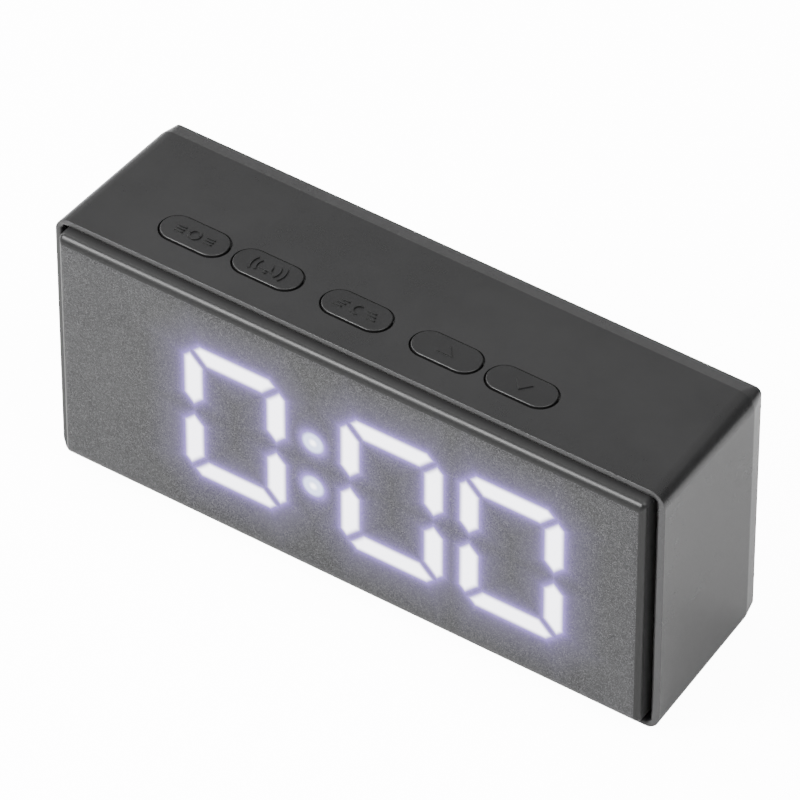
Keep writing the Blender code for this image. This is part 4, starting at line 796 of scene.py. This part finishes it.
# %% Grain group
def grain_group():
    """Height = fine grain + a little coarse grain. Roughness = middle + spread x clouds."""
    tree, start, end = new_group(
        "moulded_grain",
        [("Grains per metre", "NodeSocketFloat", 5000.0), ("Middle roughness", "NodeSocketFloat", 0.4),
         ("Spread", "NodeSocketFloat", 0.1), ("Colour", "NodeSocketColor", None),
         ("Clouded colour", "NodeSocketColor", None)],
        [("Height", "NodeSocketFloat"), ("Roughness", "NodeSocketFloat"), ("Colour", "NodeSocketColor")])
    place = tree.nodes.new("ShaderNodeTexCoord").outputs["Object"]
    size = Value(tree, start.outputs["Grains per metre"])
    fine = noise(tree, place, size, 3.0, 0.6)
    coarse = noise(tree, place, size * 0.31, 1.0)
    clouds = noise(tree, place, 38.0, 4.0, 0.62)
    scuffs = noise(tree, place, 420.0, 2.0, 0.7)
    height = fine * 0.7 + coarse * 0.3
    spread = Value(tree, start.outputs["Spread"])
    uneven = (clouds - 0.5) + (scuffs - 0.5) * 0.5 + (fine - 0.5) * 0.6
    rough = Value(tree, start.outputs["Middle roughness"]) + uneven * spread
    share = clouds.ramp(0.35, 0.70) * 0.7 + fine.ramp(0.4, 0.75) * 0.3
    colour = mix_colours(tree, share, start.outputs["Colour"], start.outputs["Clouded colour"])
    tree.links.new(height.socket, end.inputs["Height"])
    tree.links.new(rough.socket, end.inputs["Roughness"])
    tree.links.new(colour, end.inputs["Colour"])
    return tree


GRAIN = grain_group()


def principled(name):
    """A new material, its tree and its shader."""
    material = bpy.data.materials.new(name)
    material.use_nodes = True
    return material, material.node_tree, material.node_tree.nodes["Principled BSDF"]


def bump(tree, shader, height, strength, distance):
    """Give a shader a bump from a height."""
    node = tree.nodes.new("ShaderNodeBump")
    node.inputs["Strength"].default_value = strength
    node.inputs["Distance"].default_value = distance
    tree.links.new(height, node.inputs["Height"])
    tree.links.new(node.outputs["Normal"], shader.inputs["Normal"])


def grained(name, colour, clouded, grains, roughness, spread, depth):
    """A material whose colour, roughness and bump come from the grain group."""
    material, tree, shader = principled(name)
    node = tree.nodes.new("ShaderNodeGroup")
    node.node_tree = GRAIN
    node.inputs["Grains per metre"].default_value = grains
    node.inputs["Middle roughness"].default_value = roughness
    node.inputs["Spread"].default_value = spread
    node.inputs["Colour"].default_value = (*colour, 1.0)
    node.inputs["Clouded colour"].default_value = (*clouded, 1.0)
    tree.links.new(node.outputs["Colour"], shader.inputs["Base Color"])
    tree.links.new(node.outputs["Roughness"], shader.inputs["Roughness"])
    bump(tree, shader, node.outputs["Height"], 1.0, depth)
    return material


case_plastic = grained("satin_black_case", (0.0128, 0.0128, 0.0130), (0.0165, 0.0165, 0.0168), 4200.0,
                       0.29, 0.08, 0.009 * MM)
key_plastic = grained("satin_black_keys", (0.0065, 0.0065, 0.0067), (0.0090, 0.0090, 0.0092), 5200.0,
                      0.36, 0.09, 0.009 * MM)
rubber = grained("foot_rubber", (0.010, 0.010, 0.010), (0.020, 0.019, 0.018), 3000.0, 0.80, 0.15, 0.03 * MM)
print("grained plastics ready")

# %% [markdown]
# ### Tinted panel and its light
#
# The panel is a smoky plastic with fine bright flakes in it, and the lit figures shine
# through. Behind it every segment is a window, but the smoky layer blurs the light: a white
# core with soft edges, and a violet glow round it. The group below works out, for a point on
# the face, its distance to the nearest segment. A digit is the same in its four quarters, so
# the point is folded into one quarter first, and only two segments are left to measure.

# %% Places of the figures
diffuser_low, diffuser_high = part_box("segment_diffuser")
DIGIT_WIDTH = 21.0 * MM
DIGIT_HEIGHT = 31.7 * MM
SEGMENT_WIDTH = 4.8 * MM
DIGIT_PITCH = 29.4 * MM
COLON_PITCH = 39.1 * MM
DISPLAY_MARGIN = 3.0 * MM
COLON_SPREAD = 12.2 * MM
COLON_RADIUS = 2.9 * MM
figure_z = (diffuser_low.z + diffuser_high.z) / 2
last_x = diffuser_high.x - DISPLAY_MARGIN - (SEGMENT_WIDTH + DIGIT_WIDTH) / 2
figure_x = [last_x, last_x - DIGIT_PITCH, last_x - DIGIT_PITCH - COLON_PITCH]
colon_x = (figure_x[1] + figure_x[2]) / 2
print("figures at", [round(x / MM, 2) for x in figure_x], "mm, colon at", round(colon_x / MM, 2))

# %% Glow group
FIGURE_SHIFT = (0.36 * MM, 0.20 * MM)      # light from behind the face is seen displaced
SLANT = 0.7071               # distance from a 45 degree line, for each step across or up

# The next ones are numbers of millimetres, as in the group's own formulas.
FIGURE_INSET = 0.16          # a lit digit is narrower than its window by this, at each side
OUTER_CUT = 0.55             # cut of a digit's outer corners
MITRE = 0.68                 # gap between an upright and a level segment, on their slant
TIP = 1.45                   # where an upright's inner tip ends, above the digit's middle
DOT_INSET = 0.12             # a lit dot is smaller than its window by this
HAZE_REACH = 11.0


def glow_group():
    """Light of the figures over the panel's face, as five values.

    A segment is a bar with slanted ends: its distance is the greatest of its flat sides'
    distances, such as (across - half width) and (along + across - reach). Core = a smooth
    step of the bars' distance. Dot = the same for the two round dots, and Spot = the brighter
    middle of a dot. Halo = 1 / (1 + (distance / size) squared). Haze = a weak glow that fades
    out a few segment widths away.
    """
    tree, start, end = new_group(
        "figure_glow", [("Blur", "NodeSocketFloat", 0.8), ("Halo size", "NodeSocketFloat", 2.0)],
        [("Core", "NodeSocketFloat"), ("Dot", "NodeSocketFloat"), ("Spot", "NodeSocketFloat"),
         ("Halo", "NodeSocketFloat"), ("Haze", "NodeSocketFloat")])
    split = tree.nodes.new("ShaderNodeSeparateXYZ")
    tree.links.new(tree.nodes.new("ShaderNodeTexCoord").outputs["Object"], split.inputs[0])
    x = (Value(tree, split.outputs["X"]) - FIGURE_SHIFT[0]) * (1 / MM)
    z = (Value(tree, split.outputs["Z"]) - FIGURE_SHIFT[1]) * (1 / MM)
    across = abs(x - figure_x[0] / MM)
    for centre in figure_x[1:]:
        across = across.least(abs(x - centre / MM))
    up = abs(z - figure_z / MM)
    half = SEGMENT_WIDTH / MM / 2
    side = DIGIT_WIDTH / MM / 2 - FIGURE_INSET
    top = DIGIT_HEIGHT / MM / 2
    off_side = abs(across - side)
    off_top = abs(up - top)
    upright = off_side.step("SUBTRACT", half)
    outer_cut = ((across - side) + (up - top)) * SLANT - OUTER_CUT
    upright = upright.most(outer_cut)
    upright = upright.most(((up - top) - (across - side)) * SLANT + MITRE)
    upright = upright.most((off_side - up + TIP) * SLANT)
    level = off_top.step("SUBTRACT", half)
    level = level.most(outer_cut)
    level = level.most(((across - side) - (up - top)) * SLANT + MITRE)
    dot_x = x - colon_x / MM
    dot_z = up - COLON_SPREAD / MM / 2
    from_dot = (dot_x * dot_x + dot_z * dot_z).step("SQRT")
    bars = upright.least(level)
    distance = bars.least(from_dot - COLON_RADIUS / MM)
    blur = Value(tree, start.outputs["Blur"])
    core = bars.step("DIVIDE", blur).ramp(-1.20, 0.20, 1.0, 0.0)
    dot = (from_dot - (COLON_RADIUS / MM - DOT_INSET)).step("DIVIDE", blur).ramp(-0.9, 0.25, 1.0, 0.0)
    spot = from_dot.ramp(0.2, 1.3, 1.0, 0.0)
    spread = distance.most(0.0).step("DIVIDE", Value(tree, start.outputs["Halo size"]))
    halo = Value(tree, (spread * spread + 1.0).socket).step("POWER", -1.0)
    haze = distance.ramp(0.0, HAZE_REACH, 1.0, 0.0)
    tree.links.new(core.socket, end.inputs["Core"])
    tree.links.new(dot.socket, end.inputs["Dot"])
    tree.links.new(spot.socket, end.inputs["Spot"])
    tree.links.new(halo.socket, end.inputs["Halo"])
    tree.links.new(haze.socket, end.inputs["Haze"])
    return tree


GLOW = glow_group()
CORE_COLOUR = (0.93, 0.92, 1.0)
DOT_COLOUR = (0.36, 0.40, 0.58)
HALO_COLOUR = (0.36, 0.22, 0.95)
HAZE_COLOUR = (0.40, 0.32, 0.72)
LIGHT_STRENGTH = 5.0
HALO_SHARE = 0.19
HAZE_SHARE = 0.028
FLAKES_PER_METRE = 4600.0
FLAKE_COLOUR = (0.085, 0.085, 0.088)
# painted shade: the panel's rounded edge is given a darker colour than its face, for the dark bands beside
# its line of light
EDGE_SHADE_COLOUR = (0.009, 0.009, 0.009)
EDGE_START = (0.05 * MM, 0.12 * MM)        # depths between which the edge's painted shade, roughness and deeper grain begin
# painted light: the panel's skirt, whose side walls stand proud of the rim, is given a lighter colour so that
# they look lit
SKIRT_LIGHT_COLOUR = (0.035, 0.035, 0.035)
SKIRT_LIGHT_START = (1.2 * MM, 1.8 * MM)
EDGE_ROUGHNESS = 0.07        # the edge is rougher than the face by this much
EDGE_BUMP = 1.5              # and its grain is deeper, by this share


def panel_material():
    """Smoky plastic with flakes, an edge darkened by painted shade, a skirt lightened by painted light, and
    the figures as light.
    """
    material, tree, shader = principled("tinted_panel")
    grain = tree.nodes.new("ShaderNodeGroup")
    grain.node_tree = GRAIN
    grain.inputs["Grains per metre"].default_value = 7500.0
    grain.inputs["Middle roughness"].default_value = 0.27
    grain.inputs["Spread"].default_value = 0.14
    grain.inputs["Colour"].default_value = (0.010, 0.010, 0.0105, 1.0)
    grain.inputs["Clouded colour"].default_value = (0.018, 0.018, 0.0185, 1.0)
    place = tree.nodes.new("ShaderNodeTexCoord").outputs["Object"]
    flakes = noise(tree, place, FLAKES_PER_METRE, 2.0, 0.7).ramp(0.45, 0.70)
    colour = mix_colours(tree, flakes, grain.outputs["Colour"], FLAKE_COLOUR)
    split = tree.nodes.new("ShaderNodeSeparateXYZ")
    tree.links.new(place, split.inputs[0])
    depth = Value(tree, split.outputs["Y"]) - panel_low.y
    edge = depth.ramp(*EDGE_START)
    skirt = depth.ramp(*SKIRT_LIGHT_START)
    # painted shade: the rounded edge takes the darker colour
    colour = mix_colours(tree, edge, colour, EDGE_SHADE_COLOUR)
    # painted light: the skirt takes the lighter colour
    colour = mix_colours(tree, skirt, colour, SKIRT_LIGHT_COLOUR)
    roughness = Value(tree, grain.outputs["Roughness"]) + edge * EDGE_ROUGHNESS
    shader.inputs["Specular IOR Level"].default_value = 0.30
    tree.links.new(colour, shader.inputs["Base Color"])
    tree.links.new(roughness.socket, shader.inputs["Roughness"])
    height = Value(tree, grain.outputs["Height"]) * (edge * EDGE_BUMP + 1.0)
    bump(tree, shader, height.socket, 1.0, 0.006 * MM)
    glow = tree.nodes.new("ShaderNodeGroup")
    glow.node_tree = GLOW
    glow.inputs["Blur"].default_value = 1.0
    glow.inputs["Halo size"].default_value = 0.8
    haze = Value(tree, glow.outputs["Haze"])
    light = mix_colours(tree, haze * HAZE_SHARE, (0.0, 0.0, 0.0), HAZE_COLOUR)
    halo_share = Value(tree, glow.outputs["Halo"]) * haze * HALO_SHARE
    light = mix_colours(tree, halo_share, light, HALO_COLOUR)
    light = mix_colours(tree, Value(tree, glow.outputs["Core"]), light, CORE_COLOUR)
    light = mix_colours(tree, Value(tree, glow.outputs["Dot"]), light, DOT_COLOUR)
    light = mix_colours(tree, Value(tree, glow.outputs["Spot"]), light, CORE_COLOUR)
    tree.links.new(light, shader.inputs["Emission Color"])
    shader.inputs["Emission Strength"].default_value = LIGHT_STRENGTH
    return material


tinted_panel = panel_material()
print("panel finish ready")

# %% [markdown]
# ### Metals, boards, cells and wires
#
# The inside is rarely seen, but a part in a library is opened and looked at. Steel is drawn
# through rollers and keeps fine lines along its length. A board's green lacquer shows its
# copper tracks as faint bands of a lighter green. A cell's jacket has two bands of colour, and so on.

# %% Streaks for steel
def streak_group():
    """Fine lines along one way: noise on coordinates that are stretched along X."""
    tree, start, end = new_group(
        "drawn_steel", [("Lines per metre", "NodeSocketFloat", 4000.0)],
        [("Height", "NodeSocketFloat"), ("Roughness", "NodeSocketFloat")])
    stretch = tree.nodes.new("ShaderNodeMapping")
    stretch.inputs["Scale"].default_value = (0.04, 1.0, 1.0)
    tree.links.new(tree.nodes.new("ShaderNodeTexCoord").outputs["Object"], stretch.inputs["Vector"])
    lines = noise(tree, stretch.outputs["Vector"], Value(tree, start.outputs["Lines per metre"]), 2.0)
    tree.links.new(lines.socket, end.inputs["Height"])
    tree.links.new(lines.ramp(0.2, 0.8, 0.20, 0.42).socket, end.inputs["Roughness"])
    return tree


STREAKS = streak_group()


def steel(name, colour):
    """Drawn steel: metal with streaks in its roughness and its bump."""
    material, tree, shader = principled(name)
    shader.inputs["Base Color"].default_value = (*colour, 1.0)
    shader.inputs["Metallic"].default_value = 1.0
    node = tree.nodes.new("ShaderNodeGroup")
    node.node_tree = STREAKS
    tree.links.new(node.outputs["Roughness"], shader.inputs["Roughness"])
    bump(tree, shader, node.outputs["Height"], 0.6, 0.01 * MM)
    return material


BAND_SOFTNESS = 0.1 * MM


def banded(name, first, second, period, share, roughness):
    """Two colours in bands along X, with a soft clouding."""
    material, tree, shader = principled(name)
    split = tree.nodes.new("ShaderNodeSeparateXYZ")
    place = tree.nodes.new("ShaderNodeTexCoord").outputs["Object"]
    tree.links.new(place, split.inputs[0])
    wave = Value(tree, split.outputs["X"]).step("PINGPONG", period / 2)
    turn = period / 2 * share
    share_value = wave.ramp(turn - BAND_SOFTNESS, turn + BAND_SOFTNESS)
    clouds = noise(tree, place, 300.0, 3.0)
    colour = mix_colours(tree, share_value, first, second)
    colour = mix_colours(tree, clouds * 0.25, colour, (0.0, 0.0, 0.0))
    uneven = clouds.ramp(0.3, 0.7, roughness - 0.08, roughness + 0.08)
    tree.links.new(colour, shader.inputs["Base Color"])
    tree.links.new(uneven.socket, shader.inputs["Roughness"])
    bump(tree, shader, clouds.socket, 0.4, 0.02 * MM)
    return material


bright_steel = steel("drawn_steel", (0.62, 0.61, 0.59))
spring_steel = steel("spring_steel", (0.50, 0.49, 0.47))
lacquer = banded("green_lacquer", (0.012, 0.090, 0.035), (0.020, 0.150, 0.060), 2.54 * MM, 0.45, 0.35)
jacket = banded("cell_jacket", (0.30, 0.26, 0.12), (0.04, 0.10, 0.07), 60.0 * MM, 0.55, 0.30)
mask_black = grained("mask_black", (0.004, 0.004, 0.004), (0.008, 0.008, 0.008), 3000.0, 0.75, 0.1, 0.02 * MM)
milky = grained("milky_diffuser", (0.80, 0.80, 0.86), (0.72, 0.72, 0.78), 3000.0, 0.45, 0.1, 0.01 * MM)
white_grid = grained("white_grid", (0.76, 0.76, 0.74), (0.68, 0.68, 0.66), 2600.0, 0.60, 0.1, 0.02 * MM)
chip_black = grained("chip_black", (0.010, 0.010, 0.011), (0.018, 0.018, 0.019), 3600.0, 0.50, 0.12,
                     0.02 * MM)
tray_black = grained("tray_black", (0.020, 0.020, 0.020), (0.028, 0.028, 0.028), 3000.0, 0.55, 0.1, 0.02 * MM)
wire_red = grained("wire_red", (0.42, 0.015, 0.012), (0.34, 0.012, 0.010), 900.0, 0.42, 0.08, 0.01 * MM)
wire_black = grained("wire_black", (0.012, 0.012, 0.012), (0.020, 0.020, 0.020), 900.0, 0.42, 0.08, 0.01 * MM)
wire_grey = grained("wire_grey", (0.30, 0.30, 0.31), (0.24, 0.24, 0.25), 900.0, 0.45, 0.08, 0.01 * MM)
print("inner finishes ready")

# %% Give every piece its finish
BY_SLOT = {
    "case_plastic": case_plastic, "key_plastic": key_plastic, "panel_plastic": tinted_panel,
    "mask_plastic": mask_black, "diffuser_plastic": milky, "reflector_plastic": white_grid,
    "board_laminate": lacquer, "chip_plastic": chip_black, "tray_plastic": tray_black,
    "bright_steel": bright_steel, "spring_steel": spring_steel, "cell_jacket": jacket, "rubber": rubber,
    "lead_red": wire_red, "lead_black": wire_black, "lead_grey": wire_grey,
}


def dress(thing, material):
    """Make a material the only one of a thing."""
    thing.data.materials.clear()
    thing.data.materials.append(material)


for subpart in frame["record"]["subparts"]:
    dress(nodes[subpart["node"]], BY_SLOT[subpart["material_slot"]])
for thing in (case_shell, door_plate):
    dress(thing, case_plastic)
dress(panel_cap, tinted_panel)
for cap in key_caps:
    dress(cap, key_plastic)
for pad in foot_pads:
    dress(pad, rubber)
print("dressed", len(nodes), "nodes and", 3 + len(key_caps) + len(foot_pads), "new pieces")

# %% [markdown]
# ## Floor and light
#
# The clock stands on a plain pale floor in soft studio light. Black plastic shows what it
# mirrors more than its own colour. The right side and the display mirror the pale floor, so
# they look lighter. The top mirrors the space behind the clock, which is kept dim, and a dark
# card behind it on the right keeps the long edges dark. The floor adds some light of its own
# towards the camera only, so it looks white, and that light falls on nothing else.

# %% Floor, lamps and world
FLOOR_SIZE = 6.0
FLOOR_LIFT = 12.0            # light that only the camera sees
FLOOR_GREY = 0.90
STAGE_ROUGHNESS = 0.9
LAMP_DISTANCE = 1.6
AIM_POINT = Vector((0, 0, 0.03))


def stage_square(name, size):
    """A level square of one face at the origin, for the floor or a card."""
    half = size / 2
    corners = [(-half, -half, 0), (half, -half, 0), (half, half, 0), (-half, half, 0)]
    mesh = bpy.data.meshes.new(name)
    mesh.from_pydata(corners, [], [(0, 1, 2, 3)])
    square = bpy.data.objects.new(name, mesh)
    bpy.context.scene.collection.objects.link(square)
    return square


def make_floor():
    """A wide pale floor at the height of the feet."""
    floor = stage_square("floor", FLOOR_SIZE)
    material, tree, shader = principled("pale_floor")
    shader.inputs["Base Color"].default_value = (FLOOR_GREY, FLOOR_GREY, FLOOR_GREY, 1.0)
    shader.inputs["Roughness"].default_value = STAGE_ROUGHNESS
    shader.inputs["Specular IOR Level"].default_value = 0.0
    shader.inputs["Emission Color"].default_value = (1.0, 1.0, 1.0, 1.0)
    seen = Value(tree, tree.nodes.new("ShaderNodeLightPath").outputs["Is Camera Ray"])
    tree.links.new((seen * FLOOR_LIFT).socket, shader.inputs["Emission Strength"])
    floor.data.materials.append(material)


def soft_lamp(name, azimuth, elevation, size, power):
    """A square lamp on a ball round the clock, aimed at it."""
    data = bpy.data.lights.new(name, "AREA")
    data.shape = "SQUARE"
    data.size = size
    data.energy = power
    lamp = bpy.data.objects.new(name, data)
    bpy.context.scene.collection.objects.link(lamp)
    aim(lamp, on_ball(math.radians(azimuth), math.radians(elevation), LAMP_DISTANCE), AIM_POINT)


def dark_card(azimuth, elevation, distance, size):
    """A black card beside the clock, turned to it. Glossy edges that mirror it stay dark."""
    card = stage_square("dark_card", size)
    aim(card, on_ball(math.radians(azimuth), math.radians(elevation), distance), AIM_POINT)
    material, _, shader = principled("card_black")
    shader.inputs["Base Color"].default_value = (0.01, 0.01, 0.01, 1.0)
    shader.inputs["Roughness"].default_value = STAGE_ROUGHNESS
    card.data.materials.append(material)


make_floor()
dark_card(137, 22, 1.1, 0.75)
world = bpy.data.worlds.new("studio")
world.use_nodes = True
world.node_tree.nodes["Background"].inputs["Color"].default_value = (1.0, 1.0, 1.0, 1.0)
world.node_tree.nodes["Background"].inputs["Strength"].default_value = 0.56
bpy.context.scene.world = world
soft_lamp("front_lamp", -33, 40, 0.6, 42)
soft_lamp("high_lamp", 10, 78, 1.0, 10)
soft_lamp("right_lamp", 88, 55, 1.0, 15)
soft_lamp("left_lamp", -100, 40, 0.9, 16)
print("a floor, a card and four lamps")
